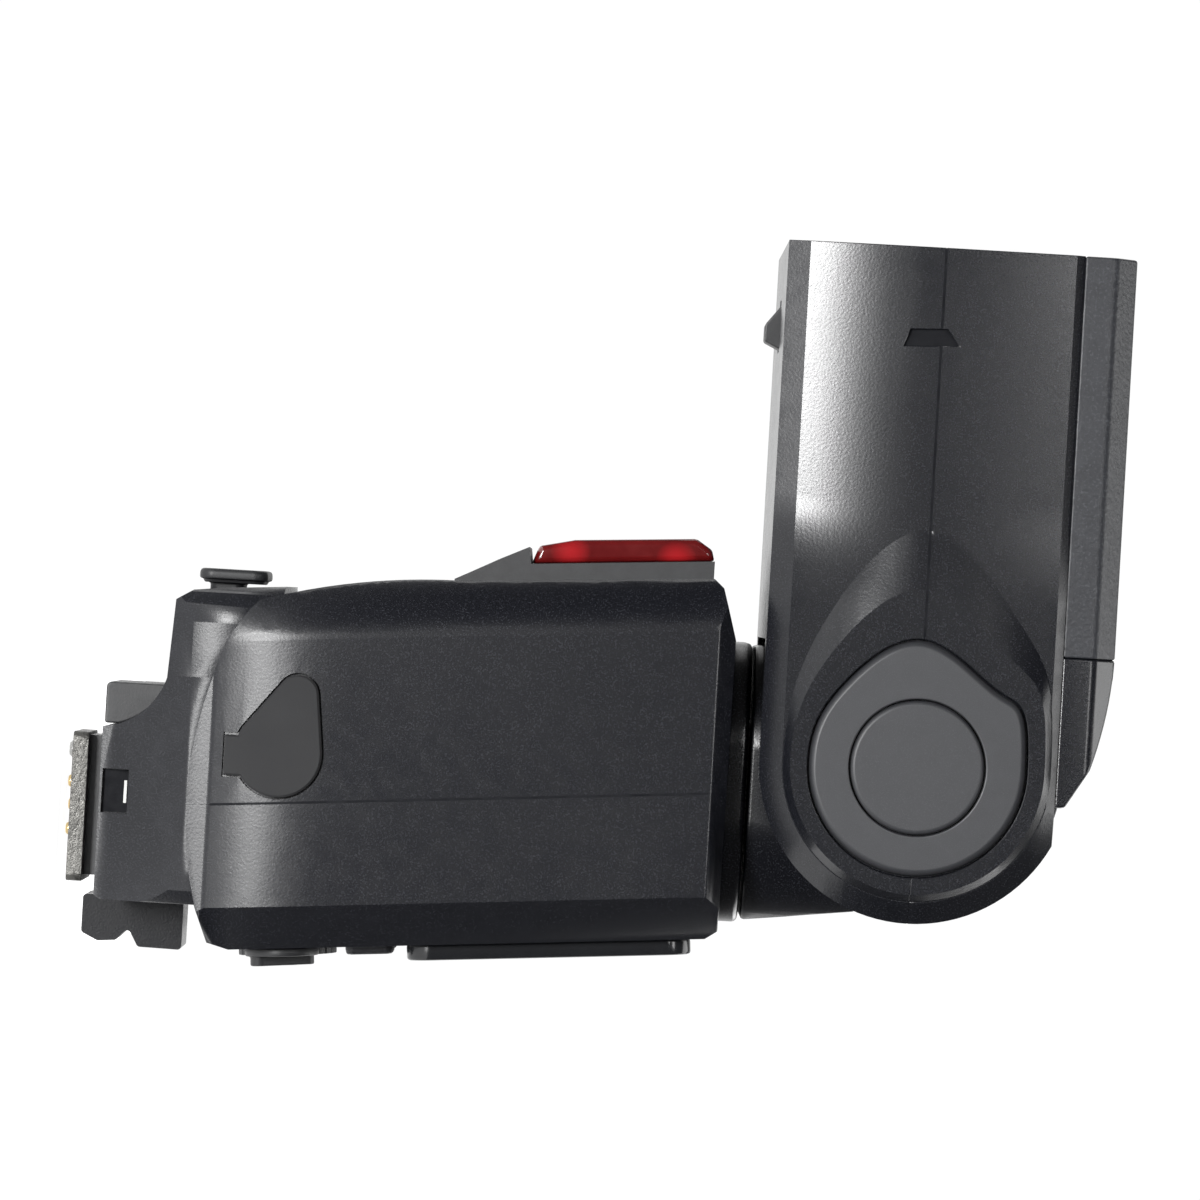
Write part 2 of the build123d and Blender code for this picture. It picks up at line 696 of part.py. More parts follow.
with BuildPart() as door_contacts:
    for row in (-1, 1):
        block(
            0.2, chamber_forward - cell_pitch + 3, chamber_forward + cell_pitch - 3,
            chamber_height + row * cell_pitch / 2 - 3.5, chamber_height + row * cell_pitch / 2 + 3.5,
            side=door_inner_x + 0.2,
        )
    for place in cell_places:
        with Locations(Plane.YZ.offset(door_inner_x + 0.4)):
            with Locations(place):
                Cone(
                    4.6, 2.6, cell_start - door_inner_x - 0.6,
                    align=(Align.CENTER, Align.CENTER, Align.MIN),
                )
save(door_contacts, "door_contacts")

# ---- Rear controls and display -------------------------------------------------------------------

with BuildPart() as selector_dial:
    with BuildSketch(rear.offset(-1.6)):
        with Locations((0, dial_y)):
            Circle(dial_radius)
            with PolarLocations(dial_radius + 0.35, dial_notches):
                Circle(0.5, mode=Mode.SUBTRACT)
            Circle(ok_radius + 0.15, mode=Mode.SUBTRACT)
    extrude(amount=1.6 + dial_proud)
save(selector_dial, "selector_dial")

with BuildPart() as ok_button:
    with BuildSketch(rear.offset(-1.4)):
        with Locations((0, dial_y)):
            Circle(ok_radius)
    extrude(amount=1.4 + dial_proud + 0.2)
    with BuildSketch(rear.offset(-2.6)):
        with Locations((0, dial_y)):
            Circle(ok_radius - 1.2)
    extrude(amount=1.2)
save(ok_button, "ok_button")

key_names = ["zoom_key", "mode_key", "test_key"]
for side, name in zip(key_sides, key_names):
    with BuildPart() as key:
        with BuildSketch(rear.offset(-1.2)):
            with Locations((side, key_y)):
                RectangleRounded(key_size[0], key_size[1], 1.1)
        extrude(amount=1.2 + key_proud)
        with BuildSketch(rear.offset(-2.4)):
            with Locations((side, key_y)):
                RectangleRounded(key_size[0] - 3, key_size[1] - 2.6, 0.6)
        extrude(amount=1.2)
        outward = Axis(origin=(0, 0, 0), direction=tuple(rear.z_dir))
        chamfer(key.faces().filter_by(outward).sort_by(outward)[-1].edges(), length=0.3)
    save(key, name)

with BuildPart() as power_switch:
    with BuildSketch(rear.offset(0.15)):
        with Locations((switch_side, dial_y)):
            Circle(switch_radius)
    extrude(amount=1.0)
    with BuildSketch(rear.offset(1.15)):
        with Locations((switch_side, dial_y)):
            SlotOverall(2 * switch_radius - 0.8, 2.4, rotation=65)
    extrude(amount=1.2)
    with BuildSketch(rear.offset(-2.6)):
        with Locations((switch_side, dial_y)):
            Circle(switch_radius - 1.4)
    extrude(amount=2.75)
save(power_switch, "power_switch")

with BuildPart() as ready_lamp:
    with BuildSketch(rear.offset(-2.6)):
        with Locations((-switch_side, dial_y)):
            Circle(switch_radius - 1.4 + gap)
    extrude(amount=2.6)
    with BuildSketch(rear):
        with Locations((-switch_side, dial_y)):
            Circle(switch_radius - 2.2)
    extrude(amount=0.8)
save(ready_lamp, "ready_lamp")

with BuildPart() as lcd_bezel:
    with BuildSketch(rear.offset(-3)):
        with Locations((0, lcd_y)):
            RectangleRounded(2 * lcd_half_width, (lcd_high - lcd_low) * lean_length, 3.0)
    extrude(amount=3 + lcd_proud)
    add(body_outer, mode=Mode.SUBTRACT)
    with BuildSketch(rear.offset(-1.5)):
        with Locations((0, lcd_y)):
            Rectangle(2 * lcd_half_width - 4.04, lcd_high - lcd_low - 4.04)
    extrude(amount=2.5)
    with BuildSketch(rear.offset(-3)):
        with Locations((0, window_y)):
            Rectangle(2 * window_half_width - 3, window_high - window_low - 3)
    extrude(amount=10, mode=Mode.SUBTRACT)
    with BuildSketch(rear.offset(lcd_proud - window_thickness - 0.15)):
        with Locations((0, window_y)):
            RectangleRounded(2 * window_half_width, window_high - window_low, 1.5)
    extrude(amount=10, mode=Mode.SUBTRACT)
save(lcd_bezel, "lcd_bezel")

with BuildPart() as lcd_window:
    with BuildSketch(rear.offset(lcd_proud - window_thickness - 0.15)):
        with Locations((0, window_y)):
            RectangleRounded(2 * window_half_width - 0.1, window_high - window_low - 0.1, 1.45)
    extrude(amount=window_thickness)
save(lcd_window, "lcd_window")

with BuildPart() as lcd_module:
    with BuildSketch(rear.offset(-1.8)):
        with Locations((0, window_y)):
            Rectangle(2 * window_half_width - 3.2, window_high - window_low - 3.2)
    extrude(amount=2.4)
    with BuildSketch(rear.offset(-4.6)):
        with Locations((0, window_y)):
            Rectangle(2 * window_half_width + 2, window_high - window_low)
    extrude(amount=2.9)
save(lcd_module, "lcd_module")

with BuildPart() as main_board:
    with BuildSketch(rear.offset(-5.9)):
        with Locations((0, on_rear(49.5))):
            Rectangle(50, 52)
    extrude(amount=1.2)
    with BuildSketch(rear.offset(-6.9)):
        with Locations((-12, on_rear(62)), (10, on_rear(66))):
            Rectangle(10, 10)
        with Locations((14, on_rear(56))):
            Rectangle(6, 4)
    extrude(amount=1.0)
save(main_board, "main_board")

with BuildPart() as main_capacitor:
    cross_bar(10.5, 15.8, 64.4, -24, 20)
    chamfer(main_capacitor.edges().filter_by(GeomType.CIRCLE), length=0.8)
save(main_capacitor, "main_capacitor")

# ---- Swivel --------------------------------------------------------------------------------------

with BuildPart() as swivel_collar:
    with BuildSketch(Plane.XY.offset(body_top - 1.5)):
        with Locations((0, -pan_forward)):
            RectangleRounded(collar_size[0], collar_size[1], collar_corner)
    extrude(amount=collar_top - body_top + 1.5)
    chamfer(swivel_collar.faces().sort_by(Axis.Z)[-1].edges(), length=0.4)
    add(body_outer, mode=Mode.SUBTRACT)
    post(swivel_radius + running, 0, pan_forward, 70, 90, mode=Mode.SUBTRACT)
save(swivel_collar, "swivel_collar")

with BuildPart() as neck:
    with BuildSketch(Plane.YZ):
        with BuildLine():
            Polyline(
                at(25.0, collar_top + swivel_gap), at(25.0, 92.0), at(pivot_forward, pivot_height),
                at(-7.3, 99.2), at(-9.3, collar_top + swivel_gap), close=True,
            )
        make_face()
    extrude(amount=drum_half_width, both=True)
    with BuildSketch(Plane.XY.offset(collar_top)):
        with Locations((0, -pan_forward)):
            RectangleRounded(collar_size[0], collar_size[1] - 0.4, collar_corner)
    extrude(amount=30, mode=Mode.INTERSECT)
    cross_bar(drum_radius, pivot_forward, pivot_height, -drum_half_width, drum_half_width)
    # cable way up from the body and the bore that the axle turns in
    post(swivel_bore, 0, pan_forward, 80, pivot_height - 3, mode=Mode.SUBTRACT)
    post(swivel_radius, 0, pan_forward, 80, collar_top + swivel_gap + 3, mode=Mode.SUBTRACT)
    cross_bar(axle_radius + running, pivot_forward, pivot_height, -30, 30, mode=Mode.SUBTRACT)
save(neck, "neck")

with BuildPart() as swivel_shaft:
    post(swivel_radius, 0, pan_forward, swivel_low, collar_top + swivel_gap + 3)
    post(swivel_radius + 2.5, 0, pan_forward, swivel_low - 1.2, swivel_low)
    post(swivel_bore, 0, pan_forward, 70, 95, mode=Mode.SUBTRACT)
save(swivel_shaft, "swivel_shaft")

# ---- Head: outer form ----------------------------------------------------------------------------


def arch(reach, back_radius, plane):
    """Outline round the tilt axis: a round back, and two curves that meet in a blunt point ahead of it."""
    hip = back_radius * 0.72
    waist = reach * 0.62
    with BuildSketch(plane) as outline:
        with BuildLine():
            ThreePointArc(
                at(pivot_forward, pivot_height + back_radius), at(pivot_forward - back_radius, pivot_height),
                at(pivot_forward, pivot_height - back_radius),
            )
            Spline(
                at(pivot_forward, pivot_height - back_radius), at(pivot_forward + waist, pivot_height - hip),
                at(pivot_forward + reach, pivot_height), at(pivot_forward + waist, pivot_height + hip),
                at(pivot_forward, pivot_height + back_radius), tangents=((-1, 0), (1, 0)),
            )
        make_face()
    return outline.sketch


rise = head_shoulder - pivot_height
shoulder_back = (head_round**2 - rise**2) ** 0.5
past_front = head_front + 10
with BuildPart() as head_form:
    with BuildSketch(Plane.YZ) as slab:
        with BuildLine():
            Line(at(past_front, head_low), at(pivot_forward, head_low))
            ThreePointArc(
                at(pivot_forward, head_low), at(pivot_forward - head_round, pivot_height),
                at(pivot_forward - shoulder_back, head_shoulder),
            )
            Line(at(pivot_forward - shoulder_back, head_shoulder), at(past_front, head_shoulder))
            Line(at(past_front, head_shoulder), at(past_front, head_low))
        make_face()
    extrude(amount=head_flank - head_bevel)
    bevel_foot = slab.sketch.faces()[0].moved(Location((head_flank - head_bevel, 0, 0)))
    extrude(bevel_foot, amount=head_bevel, taper=45)
    loft([
        arch(boss_reach, boss_radius, Plane.YZ.offset(head_flank)).face(),
        arch(plateau_reach, boss_radius - 0.9, Plane.YZ.offset(head_boss)).face(),
    ])
    mirror(about=Plane.YZ)
    block(60, head_front, 120, 0, 200, mode=Mode.SUBTRACT)

# ---- Head: the top cover's form, and its grip skin -----------------------------------------------


def cover_form(inset):
    """The top cover's form above the deck, drawn in by inset."""
    with BuildPart() as form:
        with BuildSketch(Plane.YZ):
            with BuildLine():
                Line(at(past_front, head_deck - 6), at(past_front, top_height))
                Line(at(past_front, top_height), at(28.0, top_height))
                ThreePointArc(at(28.0, top_height), at(19.0, 128.1), at(12.1, 126.3))
                Line(at(12.1, 126.3), at(7.3, head_deck + 1.2))
                Line(at(7.3, head_deck + 1.2), at(7.3, head_deck - 6))
                Line(at(7.3, head_deck - 6), at(past_front, head_deck - 6))
            make_face()
            if inset:
                offset(amount=-inset, kind=Kind.INTERSECTION, mode=Mode.REPLACE)
        extrude(amount=60, both=True)
        with BuildSketch(Plane.XZ):
            with BuildLine():
                FilletPolyline(
                    (-top_half_width, head_deck - 10), (-top_half_width + 0.6, 126.2),
                    (-top_half_width + 4.4, top_height), (top_half_width - 4.4, top_height),
                    (top_half_width - 0.6, 126.2), (top_half_width, head_deck - 10), radius=1.6, close=True,
                )
            make_face()
            if inset:
                offset(amount=-inset, kind=Kind.INTERSECTION, mode=Mode.REPLACE)
        extrude(amount=200, both=True, mode=Mode.INTERSECT)
        block(60, -60, 120, 0, head_deck - inset, mode=Mode.SUBTRACT)
        block(60, head_front + inset, 120, 0, 200, mode=Mode.SUBTRACT)
    return form.part


cover_outer = cover_form(0)
cover_under_skin = cover_form(grip_skin)
slot_half_width = card_half_width + gap
slot_back = 26.0
panel_low = 123.1
card_low = 125.5

with BuildPart() as grip_panel:
    add(cover_outer)
    block(60, -60, grip_back, 0, 200, mode=Mode.SUBTRACT)
    add(cover_under_skin, mode=Mode.SUBTRACT)
save(grip_panel, "grip_panel")

with BuildPart() as head_top_cover:
    add(cover_outer)
    add(grip_panel.part, mode=Mode.SUBTRACT)
    cross_bar(
        drum_radius + drum_clearance, pivot_forward, pivot_height, -ear_inner, ear_inner, mode=Mode.SUBTRACT
    )
    block(
        slot_half_width, slot_back, past_front, panel_low - gap, panel_low + panel_thickness + gap,
        mode=Mode.SUBTRACT,
    )
    block(
        slot_half_width, slot_back, past_front, card_low - gap, card_low + card_thickness + gap,
        mode=Mode.SUBTRACT,
    )
save(head_top_cover, "head_top_cover")

with BuildPart() as wide_panel:
    block(card_half_width, 29.0, head_front - 0.4, panel_low, panel_low + panel_thickness)
    block(7.0, head_front - 0.4, head_front + 0.9, panel_low - 0.1, panel_low + panel_thickness + 0.1)
save(wide_panel, "wide_panel")

with BuildPart() as bounce_card:
    block(card_half_width, 31.0, head_front - 0.2, card_low, card_low + card_thickness)
    block(10.0, head_front - 0.2, head_front + 0.6, card_low, card_low + card_thickness)
save(bounce_card, "bounce_card")

# ---- Head shells ---------------------------------------------------------------------------------

cavity_back = 31.5
bezel_back = head_front - bezel_depth
cavity_low = 88.0
cavity_high = 119.6
bezel_half_width = 31.6
bezel_low = 87.9
bezel_high = 120.4
switch_back = 62.2
switch_front = 68.8

with BuildPart() as head_shell:
    add(head_form.part)
    block(60, -60, 120, head_deck, 200, mode=Mode.SUBTRACT)
    # room for the neck's drum, and for the neck below it as the head tilts
    cross_bar(
        drum_radius + drum_clearance, pivot_forward, pivot_height, -ear_inner, ear_inner, mode=Mode.SUBTRACT
    )
    block(ear_inner, -60, pivot_forward, 0, 200, mode=Mode.SUBTRACT)
    block(ear_inner, 0, 26.0, 0, pivot_height - 4, mode=Mode.SUBTRACT)
    cross_bar(axle_radius + 0.02, pivot_forward, pivot_height, -60, 60, mode=Mode.SUBTRACT)
    # light chamber and front frame
    block(head_flank - head_wall, cavity_back, head_front + 1, cavity_low, cavity_high, mode=Mode.SUBTRACT)
    block(bezel_half_width, bezel_back, head_front + 1, bezel_low, bezel_high, mode=Mode.SUBTRACT)
    # teardrop recesses for the hinge covers
    for end in (-head_boss, head_boss - cover_recess):
        extrude(
            arch(cover_apex + gap, cover_radius + gap, Plane.YZ.offset(end)),
            amount=cover_recess, dir=(1, 0, 0), mode=Mode.SUBTRACT,
        )
    cross_bar(cap_radius + gap, pivot_forward, pivot_height, -head_boss, -head_boss + 3.4, mode=Mode.SUBTRACT)
    # finger notch across the seam on each flank, and the hole for the dome sensing key
    for end in (-head_flank - 1, head_flank - 1.2):
        with BuildSketch(Plane.YZ.offset(end)):
            with BuildLine():
                Polyline(at(62.9, 100.4), at(65.0, 101.2), at(65.2, 105.7), at(63.2, 107.2), close=True)
            make_face()
        extrude(amount=2.2, mode=Mode.SUBTRACT)
    block(4.2, switch_back, switch_front, 80, 90, mode=Mode.SUBTRACT)

with BuildPart() as head_lower_shell:
    add(head_shell.part)
    block(60, -60, 120, pivot_height, 200, mode=Mode.SUBTRACT)
save(head_lower_shell, "head_lower_shell")

with BuildPart() as head_upper_shell:
    add(head_shell.part)
    block(60, -60, 120, 0, pivot_height, mode=Mode.SUBTRACT)
save(head_upper_shell, "head_upper_shell")

with BuildPart() as dome_key:
    with BuildSketch(Plane.YZ):
        with BuildLine():
            Polyline(
                at(68.6, 86.2), at(65.5, 83.8), at(63.4, 83.8), at(62.4, 85.9), at(62.4, 88.4),
                at(68.6, 88.4), close=True,
            )
        make_face()
    extrude(amount=4.0, both=True)
save(dome_key, "dome_key")

with BuildPart() as front_bezel:
    block(
        bezel_half_width - 0.02, bezel_back, head_front - 0.3, bezel_low + 0.02, bezel_high - 0.02,
    )
    with BuildSketch(Plane.XZ.offset(bezel_back)):
        with Locations((0, (lens_low + lens_high) / 2)):
            RectangleRounded(2 * lens_half_width - 2, lens_high - lens_low - 2, 2.5)
    extrude(amount=bezel_depth + 1, mode=Mode.SUBTRACT)
    with BuildSketch(Plane.XZ.offset(head_front - 0.9 - lens_thickness)):
        with Locations((0, (lens_low + lens_high) / 2)):
            RectangleRounded(2 * lens_half_width, lens_high - lens_low, 3.0)
    extrude(amount=bezel_depth, mode=Mode.SUBTRACT)
    chamfer(front_bezel.faces().sort_by(Axis.Y)[0].edges(), length=0.3)
save(front_bezel, "front_bezel")

with BuildPart() as fresnel_lens:
    with BuildSketch(Plane.XZ.offset(head_front - 0.9 - lens_thickness)):
        with Locations((0, (lens_low + lens_high) / 2)):
            RectangleRounded(2 * lens_half_width - 0.1, lens_high - lens_low - 0.1, 2.95)
    extrude(amount=lens_thickness)
save(fresnel_lens, "fresnel_lens")

# ---- Tilt axle, hinge covers and the lock release ------------------------------------------------

with BuildPart() as tilt_axle:
    reach = head_boss - cover_recess - 0.1
    cross_bar(axle_radius, pivot_forward, pivot_height, -31.2, reach)
    cross_bar(axle_bore, pivot_forward, pivot_height, -31.2, reach, mode=Mode.SUBTRACT)
save(tilt_axle, "tilt_axle")

for name, end in (("hinge_cover_left", -head_boss), ("hinge_cover_right", head_boss - cover_recess)):
    with BuildPart() as hinge_cover:
        extrude(arch(cover_apex, cover_radius, Plane.YZ.offset(end)), amount=cover_recess, dir=(1, 0, 0))
        cross_bar(cap_radius + 0.2, pivot_forward, pivot_height, -60, 60, mode=Mode.SUBTRACT)
        outer_face = hinge_cover.faces().sort_by(Axis.X)[-1 if end > 0 else 0]
        chamfer(outer_face.edges().filter_by(GeomType.CIRCLE).sort_by(SortBy.LENGTH)[0], length=0.6)
    save(hinge_cover, name)

with BuildPart() as hinge_cap:
    cross_bar(cap_radius, pivot_forward, pivot_height, head_boss - cover_recess, head_boss + 0.15)
    chamfer(hinge_cap.edges().sort_by(Axis.X)[-1], length=0.3)
save(hinge_cap, "hinge_cap")

with BuildPart() as release_button:
    cross_bar(cap_radius, pivot_forward, pivot_height, -head_boss - cap_proud, -head_boss + 1.9)
    chamfer(release_button.edges().sort_by(Axis.X)[0], length=0.4)
save(release_button, "release_button")

# ---- Zoom mechanism ------------------------------------------------------------------------------

carriage_half_width = 22.9
carriage_front = carriage_back + carriage_depth
reflector_half_width = 21.5
light_height = 103.7
reflector_half_height = 11.5
nut_depth = 6.0
motor_front = 42.0

with BuildPart() as zoom_carriage:
    block(carriage_half_width, carriage_back, carriage_front, 90.0, 117.2)
    for side in (-1, 1):
        block(3.4, carriage_back, carriage_front, rod_height - 2.6, rod_height + 2.6, side=side * 26.2)
        rod(rod_radius + running, side * rod_side, rod_height, 0, 80, mode=Mode.SUBTRACT)
    block(3.4, carriage_front - nut_depth, carriage_front, screw_height - 2.6, screw_height + 2.6, side=26.2)
    rod(screw_radius + running, screw_side, screw_height, 0, 80, mode=Mode.SUBTRACT)
    block(
        reflector_half_width + 0.02, carriage_back - 1, carriage_front + 1,
        light_height - reflector_half_height - 0.02, light_height + reflector_half_height + 0.02,
        mode=Mode.SUBTRACT,
    )
save(zoom_carriage, "zoom_carriage")

tube_radius = 2.2
tube_forward = carriage_back + 4.0
with BuildPart() as reflector:
    block(
        reflector_half_width, carriage_back, carriage_front,
        light_height - reflector_half_height, light_height + reflector_half_height,
    )
    with BuildSketch(Plane.XZ.offset(carriage_front)):
        with Locations((0, light_height)):
            RectangleRounded(2 * reflector_half_width - 2, 2 * reflector_half_height - 2, 1.5)
    extrude(amount=-(carriage_depth - 2.2), taper=28, mode=Mode.SUBTRACT)
    cross_bar(tube_radius + running, tube_forward, light_height, -40, 40, mode=Mode.SUBTRACT)
save(reflector, "reflector")

with BuildPart() as flash_tube:
    cross_bar(tube_radius, tube_forward, light_height, -reflector_half_width, reflector_half_width)
save(flash_tube, "flash_tube")

with BuildPart() as guide_rods:
    for side in (-1, 1):
        rod(rod_radius, side * rod_side, rod_height, cavity_back, bezel_back)
save(guide_rods, "guide_rods")

with BuildPart() as zoom_motor:
    rod(3.8, screw_side, screw_height, cavity_back, motor_front)
    block(1.0, cavity_back, motor_front - 2, screw_height + 3.0, cavity_high, side=screw_side)
    chamfer(zoom_motor.edges().filter_by(GeomType.CIRCLE).sort_by(Axis.Y)[0], length=0.4)
save(zoom_motor, "zoom_motor")

with BuildPart() as lead_screw:
    rod(screw_radius, screw_side, screw_height, motor_front + 0.1, bezel_back - 0.2)
save(lead_screw, "lead_screw")
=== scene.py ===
import json
import logging
import math
from dataclasses import dataclass, field
from enum import Enum

import bmesh
import bpy
from mathutils import Matrix, Vector

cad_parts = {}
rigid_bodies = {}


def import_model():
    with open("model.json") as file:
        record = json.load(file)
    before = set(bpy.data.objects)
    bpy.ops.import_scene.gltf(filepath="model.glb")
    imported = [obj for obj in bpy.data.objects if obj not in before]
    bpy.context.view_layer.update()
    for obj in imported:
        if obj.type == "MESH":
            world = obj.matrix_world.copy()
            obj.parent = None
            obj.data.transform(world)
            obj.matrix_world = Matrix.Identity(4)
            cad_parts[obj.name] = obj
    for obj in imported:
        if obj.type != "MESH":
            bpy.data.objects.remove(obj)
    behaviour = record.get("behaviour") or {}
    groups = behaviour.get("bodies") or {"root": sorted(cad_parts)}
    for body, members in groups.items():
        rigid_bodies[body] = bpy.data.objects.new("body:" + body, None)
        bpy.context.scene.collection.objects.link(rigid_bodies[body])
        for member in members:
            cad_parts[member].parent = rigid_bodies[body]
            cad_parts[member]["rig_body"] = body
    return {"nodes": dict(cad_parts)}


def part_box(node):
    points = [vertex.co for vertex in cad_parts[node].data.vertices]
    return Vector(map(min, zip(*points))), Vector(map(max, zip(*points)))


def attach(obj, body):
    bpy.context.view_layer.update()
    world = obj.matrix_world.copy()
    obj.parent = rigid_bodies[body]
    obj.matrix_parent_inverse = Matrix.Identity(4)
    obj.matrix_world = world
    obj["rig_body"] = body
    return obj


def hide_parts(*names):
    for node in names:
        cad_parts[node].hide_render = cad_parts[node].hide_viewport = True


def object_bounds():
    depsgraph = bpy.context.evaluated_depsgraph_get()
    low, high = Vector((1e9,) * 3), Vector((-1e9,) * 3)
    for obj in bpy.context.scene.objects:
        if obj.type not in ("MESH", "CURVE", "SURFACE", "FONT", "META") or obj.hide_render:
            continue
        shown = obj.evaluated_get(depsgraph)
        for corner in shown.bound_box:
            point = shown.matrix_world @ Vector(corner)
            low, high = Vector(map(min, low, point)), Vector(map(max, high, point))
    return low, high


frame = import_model()
log = logging.getLogger("speedlight")

MM = 0.001
PANEL_FOOT = (14.9, 37.3)  # a spot on the sloping rear panel: how far back and how high, in millimetres
PANEL_SLOPE = 0.08
PANEL_UP = Vector((0, -PANEL_SLOPE, 1)).normalized()
PANEL_OUT = Vector((0, 1, PANEL_SLOPE)).normalized()
BODY_FLANK = 33.0
HEAD_FLANK = 33.8
BOSS_FLANK = 35.2
CAD_BOX = [list(corner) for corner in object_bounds()]


# ---- Places --------------------------------------------------------------------------------------


def place(side: float, forward: float, height: float) -> Vector:
    """A point of the flash in metres, from millimetres across, forward (the way the lens faces) and up."""
    return Vector((side * MM, -forward * MM, height * MM))


class Facing(Enum):
    """The side of the flash that a flat piece lies on, as the direction it looks."""

    RIGHT = "right"
    LEFT = "left"
    REAR = "rear"

    def turn(self) -> Matrix:
        """The turn that stands a piece drawn on the X-Y plane up on this side, reading upright."""
        across, up = {
            Facing.RIGHT: (Vector((0, 1, 0)), Vector((0, 0, 1))),
            Facing.LEFT: (Vector((0, -1, 0)), Vector((0, 0, 1))),
            Facing.REAR: (Vector((-1, 0, 0)), PANEL_UP),
        }[self]
        out = across.cross(up)
        return Matrix((across, up, out)).transposed().to_4x4()


# ---- Shader building -----------------------------------------------------------------------------


class Bench:
    """Adds nodes to one tree and wires them together."""

    def __init__(self, tree: bpy.types.NodeTree) -> None:
        """Take a node tree to work on.

        Args:
            tree: the material's, world's or group's node tree.
        """
        self.tree = tree

    def node(self, kind: str, **values: object) -> bpy.types.Node:
        """Add a node and set its plain properties.

        Args:
            kind: the node's type name, without the leading "ShaderNode".
            values: properties of the node, such as operation or noise_dimensions.

        Returns:
            The new node.
        """
        made = self.tree.nodes.new(kind if kind.startswith("Node") else "ShaderNode" + kind)
        for name, value in values.items():
            setattr(made, name, value)
        return made

    def wire(self, source: bpy.types.NodeSocket, target: bpy.types.NodeSocket) -> None:
        """Join an output to an input."""
        self.tree.links.new(source, target)

    def feed(self, node: bpy.types.Node, **inputs: object) -> bpy.types.Node:
        """Set or wire a node's inputs by name.

        Args:
            node: the node whose inputs are given.
            inputs: input name, with _ for a space, to a value or an output socket.

        Returns:
            The same node.
        """
        for name, value in inputs.items():
            socket = node.inputs[name.replace("_", " ")]
            if isinstance(value, bpy.types.NodeSocket):
                self.wire(value, socket)
            else:
                socket.default_value = value
        return node

    def mix(self, mask: object, low: object, high: object) -> bpy.types.NodeSocket:
        """Mix two colours by a mask.

        Args:
            mask: socket or number, 0 for low and 1 for high.
            low: colour or socket where the mask is 0.
            high: colour or socket where the mask is 1.

        Returns:
            The mixed colour.
        """
        made = self.node("Mix", data_type="RGBA")
        for index, value in ((0, mask), (6, low), (7, high)):
            if isinstance(value, bpy.types.NodeSocket):
                self.wire(value, made.inputs[index])
            else:
                made.inputs[index].default_value = value
        return made.outputs[2]

    def span(self, value: bpy.types.NodeSocket, low: float, high: float,
             to_low: float, to_high: float) -> bpy.types.NodeSocket:
        """Map a value from one range to another, clamped.

        Args:
            value: the socket to map.
            low: the value that gives to_low.
            high: the value that gives to_high.
            to_low: the result at low.
            to_high: the result at high.

        Returns:
            The mapped value.
        """
        made = self.node("MapRange")
        self.feed(made, Value=value, From_Min=low, From_Max=high, To_Min=to_low, To_Max=to_high)
        return made.outputs["Result"]

    def maths(self, operation: str, first: object, second: object = 0.0) -> bpy.types.NodeSocket:
        """Combine two values.

        Args:
            operation: the Math node's operation.
            first: number or socket.
            second: number or socket.

        Returns:
            The result.
        """
        made = self.node("Math", operation=operation)
        for index, value in ((0, first), (1, second)):
            if isinstance(value, bpy.types.NodeSocket):
                self.wire(value, made.inputs[index])
            else:
                made.inputs[index].default_value = value
        return made.outputs[0]


class Effect(Enum):
    """Surface effects that several finishes share, each kept as one node group."""

    MOULD_GRAIN = "mould_grain"
    HANDLING = "handling"
    EDGE_RUB = "edge_rub"

    def group(self) -> bpy.types.NodeTree:
        """The effect's node group, made the first time it is asked for."""
        known = bpy.data.node_groups.get(self.value)
        if known is not None:
            return known
        maker = {
            Effect.MOULD_GRAIN: make_mould_grain,
            Effect.HANDLING: make_handling,
            Effect.EDGE_RUB: make_edge_rub,
        }[self]
        return maker(self.value)


def new_group(
    name: str, inputs: dict[str, float], outputs: list[str],
) -> tuple[Bench, bpy.types.Node, bpy.types.Node]:
    """Start a shader node group with number sockets.

    Args:
        name: the group's name.
        inputs: input names with their usual values.
        outputs: output names.

    Returns:
        The group's bench, its input node and its output node.
    """
    tree = bpy.data.node_groups.new(name, "ShaderNodeTree")
    for label, value in inputs.items():
        socket = tree.interface.new_socket(label, in_out="INPUT", socket_type="NodeSocketFloat")
        socket.default_value = value
    for label in outputs:
        tree.interface.new_socket(label, in_out="OUTPUT", socket_type="NodeSocketFloat")
    bench = Bench(tree)
    return bench, bench.node("NodeGroupInput"), bench.node("NodeGroupOutput")


def make_mould_grain(name: str) -> bpy.types.NodeTree:
    """Spark-eroded mould grain: fine pebbles with small bright flecks between them.

    Args:
        name: the group's name.

    Returns:
        The group, with Height and Fleck outputs.
    """
    bench, given, result = new_group(name, {"Grain": 4000.0, "Fleck size": 9000.0}, ["Height", "Fleck"])
    spot = bench.node("TexCoord").outputs["Object"]
    pebbles = bench.node("TexVoronoi", feature="SMOOTH_F1")
    bench.feed(pebbles, Vector=spot, Scale=given.outputs["Grain"], Smoothness=0.6)
    rough = bench.node("TexNoise")
    bench.feed(rough, Vector=spot, Scale=given.outputs["Grain"], Detail=2.0, Roughness=0.6)
    shallow = bench.maths("MULTIPLY", pebbles.outputs["Distance"], 0.6)
    height = bench.maths("ADD", shallow, rough.outputs["Fac"])
    bench.wire(height, result.inputs["Height"])
    dust = bench.node("TexNoise")
    bench.feed(dust, Vector=spot, Scale=given.outputs["Fleck size"], Detail=1.0, Roughness=0.5)
    bench.wire(bench.span(dust.outputs["Fac"], 0.55, 0.72, 0.0, 1.0), result.inputs["Fleck"])
    return bench.tree


